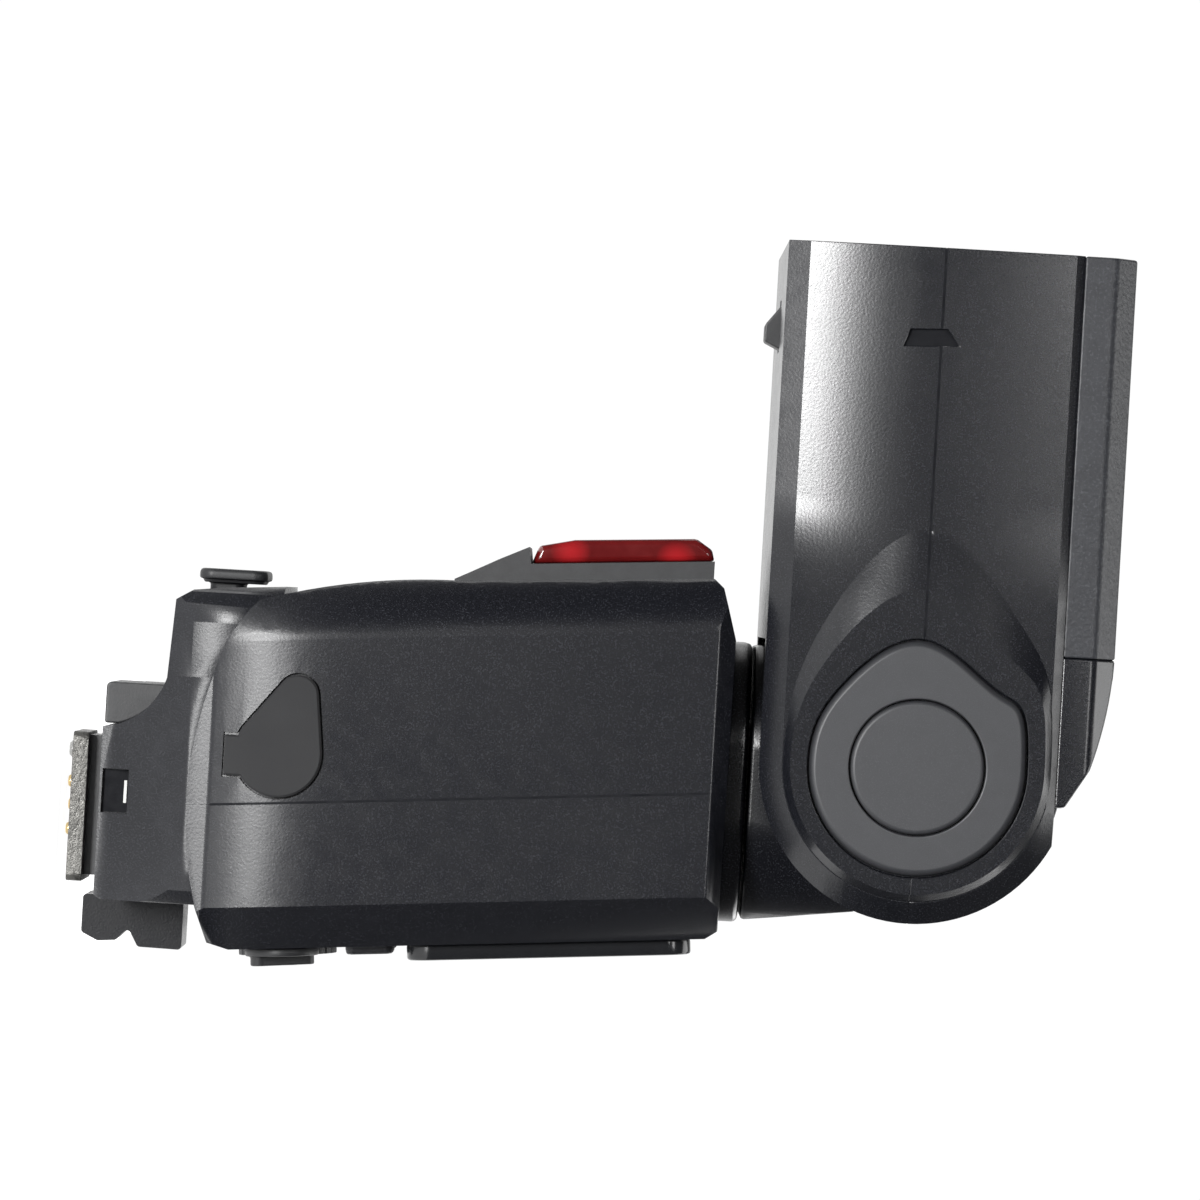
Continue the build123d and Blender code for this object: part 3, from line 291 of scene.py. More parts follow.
def make_handling(name: str) -> bpy.types.NodeTree:
    """Slow variation from handling: patches a little shinier or duller than the rest.

    Args:
        name: the group's name.

    Returns:
        The group, with a Patch output.
    """
    bench, given, result = new_group(name, {"Size": 60.0, "Scuffs": 0.3}, ["Patch"])
    spot = bench.node("TexCoord").outputs["Object"]
    slow = bench.node("TexNoise")
    bench.feed(slow, Vector=spot, Scale=given.outputs["Size"], Detail=2.0, Roughness=0.45)
    stretched = bench.node("Mapping")
    bench.feed(stretched, Vector=spot, Rotation=(0.4, 0.9, 0.2), Scale=(1.0, 1.0, 9.0))
    fine = bench.node("TexNoise")
    bench.feed(fine, Vector=stretched.outputs["Vector"], Scale=260.0, Detail=3.0, Roughness=0.7)
    streaks = bench.span(fine.outputs["Fac"], 0.62, 0.75, 0.0, 1.0)
    scuff = bench.maths("MULTIPLY", streaks, given.outputs["Scuffs"])
    bench.wire(bench.maths("ADD", slow.outputs["Fac"], scuff), result.inputs["Patch"])
    return bench.tree


def make_edge_rub(name: str) -> bpy.types.NodeTree:
    """A mask of outer edges, where handling has polished the grain.

    Args:
        name: the group's name.

    Returns:
        The group, with a Rub output.
    """
    bench, given, result = new_group(name, {"Reach": 0.06}, ["Rub"])
    form = bench.node("NewGeometry")
    edge = bench.span(form.outputs["Pointiness"], 0.51, 0.58, 0.0, 1.0)
    spot = bench.node("TexCoord").outputs["Object"]
    broken = bench.node("TexNoise")
    bench.feed(broken, Vector=spot, Scale=420.0, Detail=3.0, Roughness=0.6)
    patchy = bench.span(broken.outputs["Fac"], 0.35, 0.65, 0.0, 1.0)
    bench.wire(bench.maths("MULTIPLY", bench.maths("MULTIPLY", edge, patchy), given.outputs["Reach"]),
               result.inputs["Rub"])
    return bench.tree


class Surface(Bench):
    """A new material with its Principled shader ready to dress."""

    def __init__(self, name: str) -> None:
        """Start a material.

        Args:
            name: the material's name, which is the record's slot name where there is one.
        """
        self.material = bpy.data.materials.new(name)
        self.material.use_nodes = True
        super().__init__(self.material.node_tree)
        self.shader = self.tree.nodes["Principled BSDF"]

    def effect(self, effect: Effect, **values: float) -> bpy.types.Node:
        """Place a shared effect with its own values."""
        made = self.node("Group", node_tree=effect.group())
        return self.feed(made, **values)

    def spot(self) -> bpy.types.NodeSocket:
        """The place on the piece, in metres."""
        return self.node("TexCoord").outputs["Object"]

    def bump(self, height: bpy.types.NodeSocket, depth: float) -> None:
        """Give the surface relief.

        Args:
            height: the relief's height, from 0 to about 1.
            depth: how deep a height of 1 stands, in metres.
        """
        made = self.node("Bump")
        made.inputs["Strength"].default_value = 1.0
        made.inputs["Distance"].default_value = depth
        self.wire(height, made.inputs["Height"])
        self.wire(made.outputs["Normal"], self.shader.inputs["Normal"])


# ---- Finishes ------------------------------------------------------------------------------------


def tint(red: float, green: float, blue: float) -> tuple[float, float, float, float]:
    """A linear colour with full alpha."""
    return (red, green, blue, 1.0)


@dataclass(frozen=True)
class MouldedPlastic:
    """Injection-moulded plastic with a grained mould finish.

    Attributes:
        name: the material slot.
        colour: linear colour of the plastic.
        rough: roughness between grains.
        grain: grains per metre.
        depth: grain depth in metres.
        fleck: how much lighter the flecks are.
        shine: specular level.
    """

    name: str
    colour: tuple[float, float, float]
    rough: float = 0.42
    grain: float = 3200.0
    depth: float = 0.000007
    fleck: float = 0.25
    shine: float = 0.5

    def build(self) -> bpy.types.Material:
        """Make the material."""
        made = Surface(self.name)
        grain = made.effect(Effect.MOULD_GRAIN, Grain=self.grain)
        grain.inputs["Fleck size"].default_value = self.grain * 1.7
        patch = made.effect(Effect.HANDLING, Size=38.0, Scuffs=0.06).outputs["Patch"]
        rub = made.effect(Effect.EDGE_RUB, Reach=0.5).outputs["Rub"]
        pale = tuple(min(1.0, part * (1.0 + self.fleck) + 0.012 * self.fleck) for part in self.colour)
        worn = tuple(min(1.0, part * 1.5 + 0.01) for part in self.colour)
        base = made.mix(grain.outputs["Fleck"], tint(*self.colour), tint(*pale))
        made.wire(made.mix(rub, base, tint(*worn)), made.shader.inputs["Base Color"])
        rough = made.span(patch, 0.2, 0.9, self.rough - 0.02, self.rough + 0.02)
        polish = made.maths("MULTIPLY", rub, 0.12)
        made.wire(made.maths("SUBTRACT", rough, polish), made.shader.inputs["Roughness"])
        made.shader.inputs["Specular IOR Level"].default_value = self.shine
        made.bump(grain.outputs["Height"], self.depth)
        return made.material


@dataclass(frozen=True)
class SoftRubber:
    """Matte rubber with a fine powdery skin and dust caught on it.

    Attributes:
        name: the material slot.
        colour: linear colour of the rubber.
        rough: roughness of the skin.
    """

    name: str
    colour: tuple[float, float, float]
    rough: float = 0.66

    def build(self) -> bpy.types.Material:
        """Make the material."""
        made = Surface(self.name)
        grain = made.effect(Effect.MOULD_GRAIN, Grain=5200.0)
        patch = made.effect(Effect.HANDLING, Size=140.0, Scuffs=0.5).outputs["Patch"]
        dusty = tuple(part * 1.35 + 0.006 for part in self.colour)
        made.wire(made.mix(made.span(patch, 0.35, 0.9, 0.0, 0.7), tint(*self.colour), tint(*dusty)),
                  made.shader.inputs["Base Color"])
        rough = made.span(patch, 0.3, 0.8, self.rough - 0.05, self.rough + 0.08)
        made.wire(rough, made.shader.inputs["Roughness"])
        made.shader.inputs["Sheen Weight"].default_value = 0.12
        made.shader.inputs["Specular IOR Level"].default_value = 0.4
        made.bump(grain.outputs["Height"], 0.000012)
        return made.material


@dataclass(frozen=True)
class BareMetal:
    """Plated or blasted metal with tool marks.

    Attributes:
        name: the material slot.
        colour: linear colour of the metal.
        rough: mean roughness.
        pits: pits per metre.
        depth: pit depth in metres.
        stretch: how far the marks are drawn out along X.
    """

    name: str
    colour: tuple[float, float, float]
    rough: float = 0.3
    pits: float = 2500.0
    depth: float = 0.00002
    stretch: float = 1.0

    def build(self) -> bpy.types.Material:
        """Make the material."""
        made = Surface(self.name)
        drawn = made.node("Mapping")
        made.feed(drawn, Vector=made.spot(), Scale=(1.0 / self.stretch, 1.0, 1.0))
        pits = made.node("TexNoise")
        made.feed(pits, Vector=drawn.outputs["Vector"], Scale=self.pits, Detail=3.0, Roughness=0.65)
        patch = made.effect(Effect.HANDLING, Size=220.0, Scuffs=0.6).outputs["Patch"]
        dull = tuple(part * 0.55 for part in self.colour)
        shade = made.span(patch, 0.35, 0.95, 0.75, 0.1)
        made.wire(made.mix(shade, tint(*self.colour), tint(*dull)), made.shader.inputs["Base Color"])
        made.wire(made.span(pits.outputs["Fac"], 0.3, 0.7, self.rough - 0.1, self.rough + 0.15),
                  made.shader.inputs["Roughness"])
        made.shader.inputs["Metallic"].default_value = 1.0
        made.bump(pits.outputs["Fac"], self.depth)
        return made.material


@dataclass(frozen=True)
class ClearPlastic:
    """Clear or tinted see-through plastic.

    Attributes:
        name: the material slot.
        colour: tint of what shows through.
        rough: how much it blurs.
        rings: Fresnel rings per metre, or 0 for none.
    """

    name: str
    colour: tuple[float, float, float]
    rough: float = 0.05
    rings: float = 0.0

    def build(self) -> bpy.types.Material:
        """Make the material."""
        made = Surface(self.name)
        patch = made.effect(Effect.HANDLING, Size=90.0, Scuffs=0.4).outputs["Patch"]
        made.wire(made.span(patch, 0.3, 1.0, self.rough, self.rough + 0.06), made.shader.inputs["Roughness"])
        deep = tuple(part * 0.94 for part in self.colour)
        made.wire(made.mix(made.span(patch, 0.3, 0.8, 0.0, 1.0), tint(*self.colour), tint(*deep)),
                  made.shader.inputs["Base Color"])
        made.shader.inputs["Transmission Weight"].default_value = 1.0
        made.shader.inputs["IOR"].default_value = 1.49
        if self.rings:
            wave = made.node("TexWave", wave_type="BANDS", bands_direction="Z")
            made.feed(wave, Vector=made.spot(), Scale=self.rings)
            made.bump(wave.outputs["Fac"], 0.00012)
        return made.material


@dataclass(frozen=True)
class RedWindow:
    """Dark red window of the focus lamp, with a glow of the lamps behind it painted into its colour.

    Attributes:
        name: the material slot.
        lamps: places of the lamps behind the window, in metres, where the glow is painted.
    """

    name: str
    lamps: tuple[tuple[float, float, float], ...]

    def build(self) -> bpy.types.Material:
        """Make the material."""
        made = Surface(self.name)
        slow = made.node("TexNoise")
        made.feed(slow, Vector=made.spot(), Scale=300.0, Detail=3.0, Roughness=0.6)
        base = made.mix(slow.outputs["Fac"], tint(0.075, 0.003, 0.004), tint(0.15, 0.006, 0.006))
        # painted glow: round each lamp the window's colour turns bright red, standing in for the lamps' light
        for x, y, z in self.lamps:
            centred = made.node("Mapping")
            reach = (0.05, 0.0026, 0.0032)
            made.feed(centred, Vector=made.spot(), Scale=tuple(1 / part for part in reach),
                      Location=(-x / reach[0], -y / reach[1], -z / reach[2]))
            glow = made.node("TexGradient", gradient_type="SPHERICAL")
            made.feed(glow, Vector=centred.outputs["Vector"])
            painted_glow = made.span(glow.outputs["Fac"], 0.12, 0.75, 0.0, 1.0)
            base = made.mix(painted_glow, base, tint(0.42, 0.012, 0.016))
        made.wire(base, made.shader.inputs["Base Color"])
        made.wire(made.span(slow.outputs["Fac"], 0.3, 0.7, 0.1, 0.2), made.shader.inputs["Roughness"])
        made.shader.inputs["Coat Weight"].default_value = 1.0
        made.shader.inputs["Coat Roughness"].default_value = 0.04
        return made.material


@dataclass(frozen=True)
class LcdGlass:
    """Grey-green liquid crystal panel with its fine cell grid.

    Attributes:
        name: the material slot.
        colour: linear colour of the panel.
    """

    name: str
    colour: tuple[float, float, float]

    def build(self) -> bpy.types.Material:
        """Make the material."""
        made = Surface(self.name)
        grid = made.node("TexNoise")
        made.feed(grid, Vector=made.spot(), Scale=5000.0, Detail=1.0)
        patch = made.effect(Effect.HANDLING, Size=40.0, Scuffs=0.1).outputs["Patch"]
        pale = tuple(part * 1.12 for part in self.colour)
        share = made.maths("MULTIPLY", grid.outputs["Fac"], patch)
        made.wire(made.mix(share, tint(*self.colour), tint(*pale)), made.shader.inputs["Base Color"])
        made.wire(made.span(patch, 0.3, 0.8, 0.2, 0.3), made.shader.inputs["Roughness"])
        return made.material


@dataclass(frozen=True)
class CellJacket:
    """Shrink-wrapped cell: two plain bands of colour along its length.

    Attributes:
        name: the material slot.
        turn: where along X the band changes, in metres.
    """

    name: str
    turn: float

    def build(self) -> bpy.types.Material:
        """Make the material."""
        made = Surface(self.name)
        axes = made.node("SeparateXYZ")
        made.wire(made.spot(), axes.inputs["Vector"])
        band = made.span(axes.outputs["X"], self.turn, self.turn + 0.0006, 0.0, 1.0)
        patch = made.effect(Effect.HANDLING, Size=150.0, Scuffs=0.5).outputs["Patch"]
        share = made.span(patch, 0.3, 0.9, 0.0, 0.4)
        dark = made.mix(share, tint(0.02, 0.021, 0.025), tint(0.05, 0.05, 0.055))
        made.wire(made.mix(band, dark, tint(0.42, 0.2, 0.06)), made.shader.inputs["Base Color"])
        made.wire(made.span(patch, 0.3, 0.8, 0.22, 0.34), made.shader.inputs["Roughness"])
        return made.material


LAMP_PLACES = tuple(tuple(place(0, 35.4, height)) for height in (61.0, 74.2))

FINISHES = (
    MouldedPlastic("body_plastic", (0.0048, 0.0053, 0.0078), rough=0.265, fleck=1.1),
    MouldedPlastic("hinge_plastic", (0.036, 0.037, 0.041), rough=0.44, grain=5200, depth=0.000004, fleck=0.4),
    MouldedPlastic("grip_plastic", (0.02, 0.0215, 0.026), rough=0.46, grain=1700, depth=0.00005, fleck=0.9),
    MouldedPlastic("black_plastic", (0.011, 0.0115, 0.013), rough=0.46, grain=4200, fleck=0.3),
    MouldedPlastic("lever_plastic", (0.006, 0.0064, 0.008), rough=0.3, grain=4200, depth=0.00001, fleck=0.2,
                   shine=0.3),
    MouldedPlastic("gloss_trim", (0.009, 0.0095, 0.011), rough=0.17, grain=6000, depth=0.000002, fleck=0.1),
    MouldedPlastic("smoke_plastic", (0.02, 0.019, 0.019), rough=0.16, grain=6000, depth=0.000002, fleck=0.1),
    # painted shade: near-black plastic laid in the shells' seams, the side pocket and the latch notch,
    # standing in for their shadow
    MouldedPlastic("painted_shade_black", (0.0022, 0.0026, 0.0045), rough=0.6, grain=5200, depth=0.000004,
                   shine=0.12),
    MouldedPlastic("marking_white", (0.62, 0.62, 0.6), rough=0.5, grain=5200, depth=0.000004, fleck=0.05),
    MouldedPlastic("diffuser", (0.72, 0.73, 0.74), rough=0.35, grain=1800, depth=0.00003, fleck=0.05),
    MouldedPlastic("white_card", (0.78, 0.78, 0.77), rough=0.45, grain=4200, depth=0.000008, fleck=0.03),
    MouldedPlastic("board", (0.018, 0.07, 0.032), rough=0.35, grain=2600, depth=0.00001, fleck=0.3),
    MouldedPlastic("capacitor", (0.02, 0.022, 0.04), rough=0.25, grain=5200, depth=0.000004, fleck=0.2),
    SoftRubber("soft_rubber", (0.009, 0.0092, 0.0105)),
    SoftRubber("key_rubber", (0.03, 0.031, 0.035), rough=0.58),
    BareMetal("foot_metal", (0.17, 0.167, 0.158), rough=0.42, pits=2100, depth=0.00012),
    BareMetal("steel", (0.56, 0.56, 0.55), rough=0.27, pits=3000, stretch=14),
    BareMetal("contact_metal", (0.86, 0.66, 0.34), rough=0.24, pits=2600, depth=0.00001),
    BareMetal("reflector_metal", (0.88, 0.88, 0.87), rough=0.16, pits=700, depth=0.00002),
    ClearPlastic("clear_window", (0.93, 0.95, 0.94), rough=0.03),
    ClearPlastic("fresnel", (0.93, 0.94, 0.96), rough=0.1, rings=190),
    ClearPlastic("tube_glass", (0.95, 0.95, 0.9), rough=0.03),
    RedWindow("red_window", LAMP_PLACES),
    MouldedPlastic("lamp_red", (0.6, 0.02, 0.02), rough=0.2, grain=6000, depth=0.000002, fleck=0.1),
    MouldedPlastic("lamp_amber", (0.5, 0.14, 0.02), rough=0.16, grain=6000, depth=0.000002, fleck=0.1),
    MouldedPlastic("lcd_ink", (0.012, 0.016, 0.016), rough=0.3, grain=6000, depth=0.000001, fleck=0.05),
    LcdGlass("lcd_glass", (0.3, 0.34, 0.27)),
    CellJacket("cell_jacket", 8.0 * MM),
)


class Finishes:
    """Every finish of the flash, by slot name."""

    def __init__(self) -> None:
        """Build each finish once."""
        self.made = {finish.name: finish.build() for finish in FINISHES}

    def __getitem__(self, name: str) -> bpy.types.Material:
        """The material of a slot."""
        return self.made[name]


# ---- Pieces --------------------------------------------------------------------------------------


@dataclass
class Piece:
    """A drawn piece before it joins the flash.

    Attributes:
        name: the piece's name.
        body: the body that it rides on.
        slot: the finish that it takes.
        mesh: its shape, in place, in metres, already creased.
    """

    name: str
    body: str
    slot: str
    mesh: bmesh.types.BMesh

    def join(self, finishes: Finishes) -> bpy.types.Object:
        """Make the object, give it its finish and let it ride on its body.

        Args:
            finishes: the flash's finishes.

        Returns:
            The finished object.
        """
        data = bpy.data.meshes.new(self.name)
        self.mesh.to_mesh(data)
        self.mesh.free()
        made = bpy.data.objects.new(self.name, data)
        bpy.context.scene.collection.objects.link(made)
        made.data.materials.append(finishes[self.slot])
        evened = made.modifiers.new("even_shading", "WEIGHTED_NORMAL")
        evened.keep_sharp = True
        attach(made, self.body)
        return made


def creased(mesh: bmesh.types.BMesh, flank: float = 38.0, other: float = 38.0) -> bmesh.types.BMesh:
    """Shade a mesh smoothly, with its sharper edges kept crisp.

    Args:
        mesh: the shape.
        flank: an edge of a flat flank that turns by more than this many degrees stays crisp.
        other: any other edge that turns by more than this many degrees stays crisp.

    Returns:
        The same mesh.
    """
    mesh.normal_update()
    for face in mesh.faces:
        face.smooth = True
    for edge in mesh.edges:
        angle = edge.calc_face_angle(0.0) if len(edge.link_faces) == 2 else math.pi
        at_flank = sum(abs(face.normal.x) > 0.9999 for face in edge.link_faces) == 1
        edge.smooth = angle < math.radians(flank if at_flank else other)
    return mesh


def carved(source: bpy.types.Object, radius: float, turn: float = 26.0) -> bmesh.types.BMesh:
    """Copy a CAD node's mesh, join its faces and round its edges as a mould does.

    Args:
        source: the CAD node's object.
        radius: radius of the rounding in millimetres, or 0 for none.
        turn: edges that turn by more than this many degrees are rounded.

    Returns:
        The rounded copy, or a plain one if rounding would grow or tear the shape.
    """
    plain = bmesh.new()
    plain.from_mesh(source.data)
    bmesh.ops.remove_doubles(plain, verts=plain.verts, dist=0.002 * MM)
    bmesh.ops.dissolve_degenerate(plain, dist=0.002 * MM, edges=plain.edges)
    bmesh.ops.dissolve_limit(plain, angle_limit=math.radians(0.2), verts=plain.verts, edges=plain.edges)
    if not radius:
        return plain
    volume = plain.calc_volume()
    rounded = plain.copy()
    limit = math.radians(turn)
    crisp = [edge for edge in rounded.edges if edge.is_manifold and edge.calc_face_angle(0.0) > limit]
    bmesh.ops.bevel(
        rounded, geom=crisp, offset=radius * MM, offset_type="OFFSET", segments=2, profile=0.5,
        affect="EDGES", material=-1, clamp_overlap=False, loop_slide=True,
    )
    kept = abs(rounded.calc_volume() - volume) < 0.06 * abs(volume)
    low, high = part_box(source.name)
    inside = all(
        low[axis] - 1e-6 <= vert.co[axis] <= high[axis] + 1e-6 for vert in rounded.verts for axis in range(3)
    )
    if kept and inside:
        plain.free()
        return rounded
    log.info("%s keeps its plain edges (volume %s, inside %s)", source.name, kept, inside)
    rounded.free()
    return plain


@dataclass(frozen=True)
class Crown:
    """The slight belly that a mould gives a flank, so that it draws in towards its edges.

    Attributes:
        outside: the flank's distance from the middle, in millimetres.
        skin: how deep under it the shell still follows.
        middle: height where the flank is widest.
        reach: height from there to its edge, signed.
        draw: how far the edge draws in.
        root: forward place where the belly fades out.
        full: forward place where it is full.
        power: how sharply it turns in near the edge.
    """

    outside: float
    skin: float
    middle: float
    reach: float
    draw: float
    root: float
    full: float
    power: float = 2.0

    def drawn(self, height: float) -> float:
        """How far the flank draws in at a height, in millimetres."""
        share = min(1.0, max(0.0, (height - self.middle) / self.reach))
        return self.draw * share ** self.power

    def press(self, mesh: bmesh.types.BMesh) -> None:
        """Cut the flank into narrow strips and draw them in.

        Args:
            mesh: the shell, in place.
        """
        for step in range(9):
            height = self.middle + self.reach * step / 8
            self.cut(mesh, (0, 0, height * MM), (0, 0, 1))
        for step in range(7):
            forward = self.root + (self.full - self.root) * step / 6
            self.cut(mesh, (0, -forward * MM, 0), (0, 1, 0))
        for vert in mesh.verts:
            side, forward, height = vert.co.x / MM, -vert.co.y / MM, vert.co.z / MM
            depth = min(1.0, max(0.0, (abs(side) - self.outside + self.skin) / self.skin))
            grown = min(1.0, max(0.0, (forward - self.root) / (self.full - self.root)))
            grown = grown * grown * (3 - 2 * grown)
            vert.co.x -= math.copysign(self.drawn(height) * depth * grown, side) * MM

    def cut(self, mesh: bmesh.types.BMesh, spot: tuple[float, ...], facing: tuple[int, ...]) -> None:
        """Cut the outer faces along a plane, leaving both sides.

        Args:
            mesh: the shell, in place.
            spot: a spot on the plane, in metres.
            facing: the way the plane faces.
        """
        inside = (self.outside - self.skin) * MM
        outer = [face for face in mesh.faces if abs(face.calc_center_median().x) > inside]
        geometry = {item for face in outer for item in (face, *face.edges, *face.verts)}
        bmesh.ops.bisect_plane(mesh, geom=list(geometry), dist=1e-7, plane_co=spot, plane_no=facing)


def raised(mesh: bmesh.types.BMesh, thick: float, edge: float) -> bmesh.types.BMesh:
    """Give a flat outline its thickness, standing up from the X-Y plane.

    Args:
        mesh: one flat face on the plane.
        thick: its thickness in millimetres.
        edge: bevel of its upper rim in millimetres, or 0 for none.

    Returns:
        The same mesh.
    """
    top = bmesh.ops.extrude_face_region(mesh, geom=list(mesh.faces))["geom"]
    upper = [item for item in top if isinstance(item, bmesh.types.BMVert)]
    bmesh.ops.translate(mesh, verts=upper, vec=(0, 0, thick * MM))
    bmesh.ops.recalc_face_normals(mesh, faces=mesh.faces)
    if edge:
        rim = [item for item in mesh.edges if all(vert in upper for vert in item.verts)]
        bmesh.ops.bevel(mesh, geom=rim, offset=edge * MM, segments=2, profile=0.5, affect="EDGES",
                        material=-1)
    return mesh


def slab(outline: list[tuple[float, float]], thick: float, edge: float = 0.0) -> bmesh.types.BMesh:
    """A flat plate drawn on the X-Y plane, standing up from it.

    Args:
        outline: its corners in millimetres, anticlockwise.
        thick: its thickness in millimetres.
        edge: bevel of its upper rim in millimetres.

    Returns:
        The plate.
    """
    mesh = bmesh.new()
    mesh.faces.new([mesh.verts.new((x * MM, y * MM, 0)) for x, y in outline])
    return raised(mesh, thick, edge)


def bar(width: float, height: float, thick: float, edge: float = 0.0, x: float = 0.0,
        y: float = 0.0) -> bmesh.types.BMesh:
    """A small rectangular plate on the X-Y plane.

    Args:
        width: size along X in millimetres.
        height: size along Y.
        thick: thickness.
        edge: bevel of the upper rim.
        x: centre along X.
        y: centre along Y.

    Returns:
        The plate.
    """
    left, right, low, high = x - width / 2, x + width / 2, y - height / 2, y + height / 2
    return slab([(left, low), (right, low), (right, high), (left, high)], thick, edge)


def disc(radius: float, thick: float, around: int = 40, y: float = 0.0) -> bmesh.types.BMesh:
    """A round plate on the X-Y plane.

    Args:
        radius: radius in millimetres.
        thick: thickness.
        around: sides of the circle.
        y: centre along Y.

    Returns:
        The plate.
    """
    mesh = bmesh.new()
    bmesh.ops.create_circle(mesh, cap_ends=True, segments=around, radius=radius * MM)
    bmesh.ops.translate(mesh, verts=mesh.verts, vec=(0, y * MM, 0))
    return raised(mesh, thick, 0.0)


def ribbon(path: list[Vector], across: Vector, width: float) -> bmesh.types.BMesh:
    """A thin strip laid along a path, just proud of the surface that the path runs on.

    Args:
        path: its middle line, in metres.
        across: direction across the strip.
        width: its width in millimetres.

    Returns:
        The strip, in place.
    """
    mesh = bmesh.new()
    half = across.normalized() * width / 2 * MM
    outward = Vector((math.copysign(1.0, path[0].x), 0, 0)) * MM
    low, high = path[0] - outward * 0.3, path[0] + outward * 0.012
    corners = (low - half, high - half, high + half, low + half)
    end = mesh.faces.new([mesh.verts.new(corner) for corner in corners])
    for before, after in zip(path, path[1:]):
        grown = bmesh.ops.extrude_face_region(mesh, geom=[end])["geom"]
        verts = [item for item in grown if isinstance(item, bmesh.types.BMVert)]
        bmesh.ops.translate(mesh, verts=verts, vec=after - before)
        end = next(item for item in grown if isinstance(item, bmesh.types.BMFace))
    bmesh.ops.recalc_face_normals(mesh, faces=mesh.faces)
    return mesh


def together(meshes: list[bmesh.types.BMesh]) -> bmesh.types.BMesh:
    """Put several shapes in one mesh.

    Args:
        meshes: the shapes, which are used up.

    Returns:
        One mesh that holds them all.
    """
    whole = bmesh.new()
    for mesh in meshes:
        data = bpy.data.meshes.new("shape")
        mesh.to_mesh(data)
        mesh.free()
        whole.from_mesh(data)
        bpy.data.meshes.remove(data)
    return whole


def settled(mesh: bmesh.types.BMesh, facing: Facing, spot: Vector, spin: float = 0.0) -> bmesh.types.BMesh:
    """Stand a piece drawn on the X-Y plane in its place.

    Args:
        mesh: the drawn shape.
        facing: the side of the flash that it lies on.
        spot: where its origin goes, in metres.
        spin: turn about its own facing in degrees.

    Returns:
        The same mesh, in place.
    """
    whole = Matrix.Translation(spot) @ facing.turn() @ Matrix.Rotation(math.radians(spin), 4, "Z")
    bmesh.ops.transform(mesh, matrix=whole, verts=mesh.verts)
    return mesh


def turned(mesh: bmesh.types.BMesh, turn: float) -> bmesh.types.BMesh:
    """Turn a piece about the origin of the X-Y plane by a number of degrees."""
    bmesh.ops.rotate(mesh, verts=mesh.verts, matrix=Matrix.Rotation(math.radians(turn), 3, "Z"))
    return mesh


# ---- Sub-assemblies ------------------------------------------------------------------------------


SIDES = ((1, Facing.RIGHT), (-1, Facing.LEFT))


@dataclass
class SubAssembly:
    """A group of pieces that one pair of hands would put together.

    Attributes:
        finishes: the flash's finishes.
        made: the pieces made so far.
    """

    finishes: Finishes
    made: list[bpy.types.Object] = field(default_factory=list)

    def carve(self, rounding: dict[str, float], turn: float = 26.0, crease: float = 38.0,
              crowns: tuple[Crown, ...] = ()) -> None:
        """Replace CAD nodes by copies with moulded edges.

        Args:
            rounding: node name to edge radius in millimetres.
            turn: edges that turn by more than this many degrees are rounded.
            crease: a flat flank's edge that turns by more than this many degrees stays crisp.
            crowns: bellies pressed into the flanks after the rounding.
        """
        for node, radius in rounding.items():
            source = frame["nodes"][node]
            mesh = creased(carved(source, radius, turn), crease)
            for crown in crowns:
                crown.press(mesh)
            made = Piece(node + "_moulded", source["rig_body"], SLOTS[node], mesh).join(self.finishes)
            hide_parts(node)
            self.made.append(made)

    def dress(self, *nodes: str) -> None:
        """Give CAD nodes that keep their own shape their finishes."""
        for node in nodes:
            source = frame["nodes"][node]
            source.data.materials.clear()
            source.data.materials.append(self.finishes[SLOTS[node]])

    def add(self, name: str, body: str, slot: str, mesh: bmesh.types.BMesh) -> bpy.types.Object:
        """Add a piece of the maker's own.

        Args:
            name: the piece's name.
            body: the body that it rides on.
            slot: the finish that it takes.
            mesh: its shape, in place.

        Returns:
            The finished object.
        """
        made = Piece(name, body, slot, creased(mesh)).join(self.finishes)
        self.made.append(made)
        return made


SLOTS = {
    node: slot
    for slot, nodes in {
        "body_plastic": ("body_front_shell", "body_rear_shell", "base_housing", "base_front_cover",
                         "head_lower_shell", "head_upper_shell", "head_top_cover", "neck", "swivel_collar",
                         "battery_door"),
        "grip_plastic": ("grip_panel",),
        "hinge_plastic": ("hinge_cover_left", "hinge_cover_right", "hinge_cap", "release_button"),
        "black_plastic": ("foot_core", "contact_block", "af_contact_cover", "power_socket", "af_bezel",
                          "sync_socket", "battery_box", "front_bezel", "zoom_carriage", "zoom_motor",
                          "selector_dial", "power_switch", "dome_key", "power_cap"),
        "lever_plastic": ("lock_lever",),
        "gloss_trim": ("lcd_bezel",),
        "red_window": ("af_window",),
        "soft_rubber": ("sync_cover",),
        "key_rubber": ("zoom_key", "mode_key", "test_key", "ok_button"),
        "foot_metal": ("foot_plate",),
        "steel": ("foot_screws", "lock_pin", "swivel_shaft", "tilt_axle", "guide_rods", "lead_screw"),
        "contact_metal": ("contact_pins", "socket_pins", "battery_contacts", "door_contacts"),
        "cell_jacket": ("aa_cells",),
        "capacitor": ("main_capacitor",),
        "board": ("main_board",),
        "lcd_glass": ("lcd_module",),
        "clear_window": ("lcd_window",),
        "fresnel": ("fresnel_lens",),
        "diffuser": ("wide_panel",),
        "white_card": ("bounce_card",),
        "reflector_metal": ("reflector",),
        "tube_glass": ("flash_tube",),
        "lamp_red": ("af_lamps",),
        "lamp_amber": ("ready_lamp",),
    }.items()
    for node in nodes
}


@dataclass
class Foot(SubAssembly):
    """The shoe foot with its contacts, lock pin and lever."""

    def build(self) -> None:
        """Make the foot's pieces."""
        self.carve({"foot_plate": 0.14, "lock_lever": 0.3})
        self.dress("foot_core", "foot_screws", "contact_block", "contact_pins", "lock_pin")


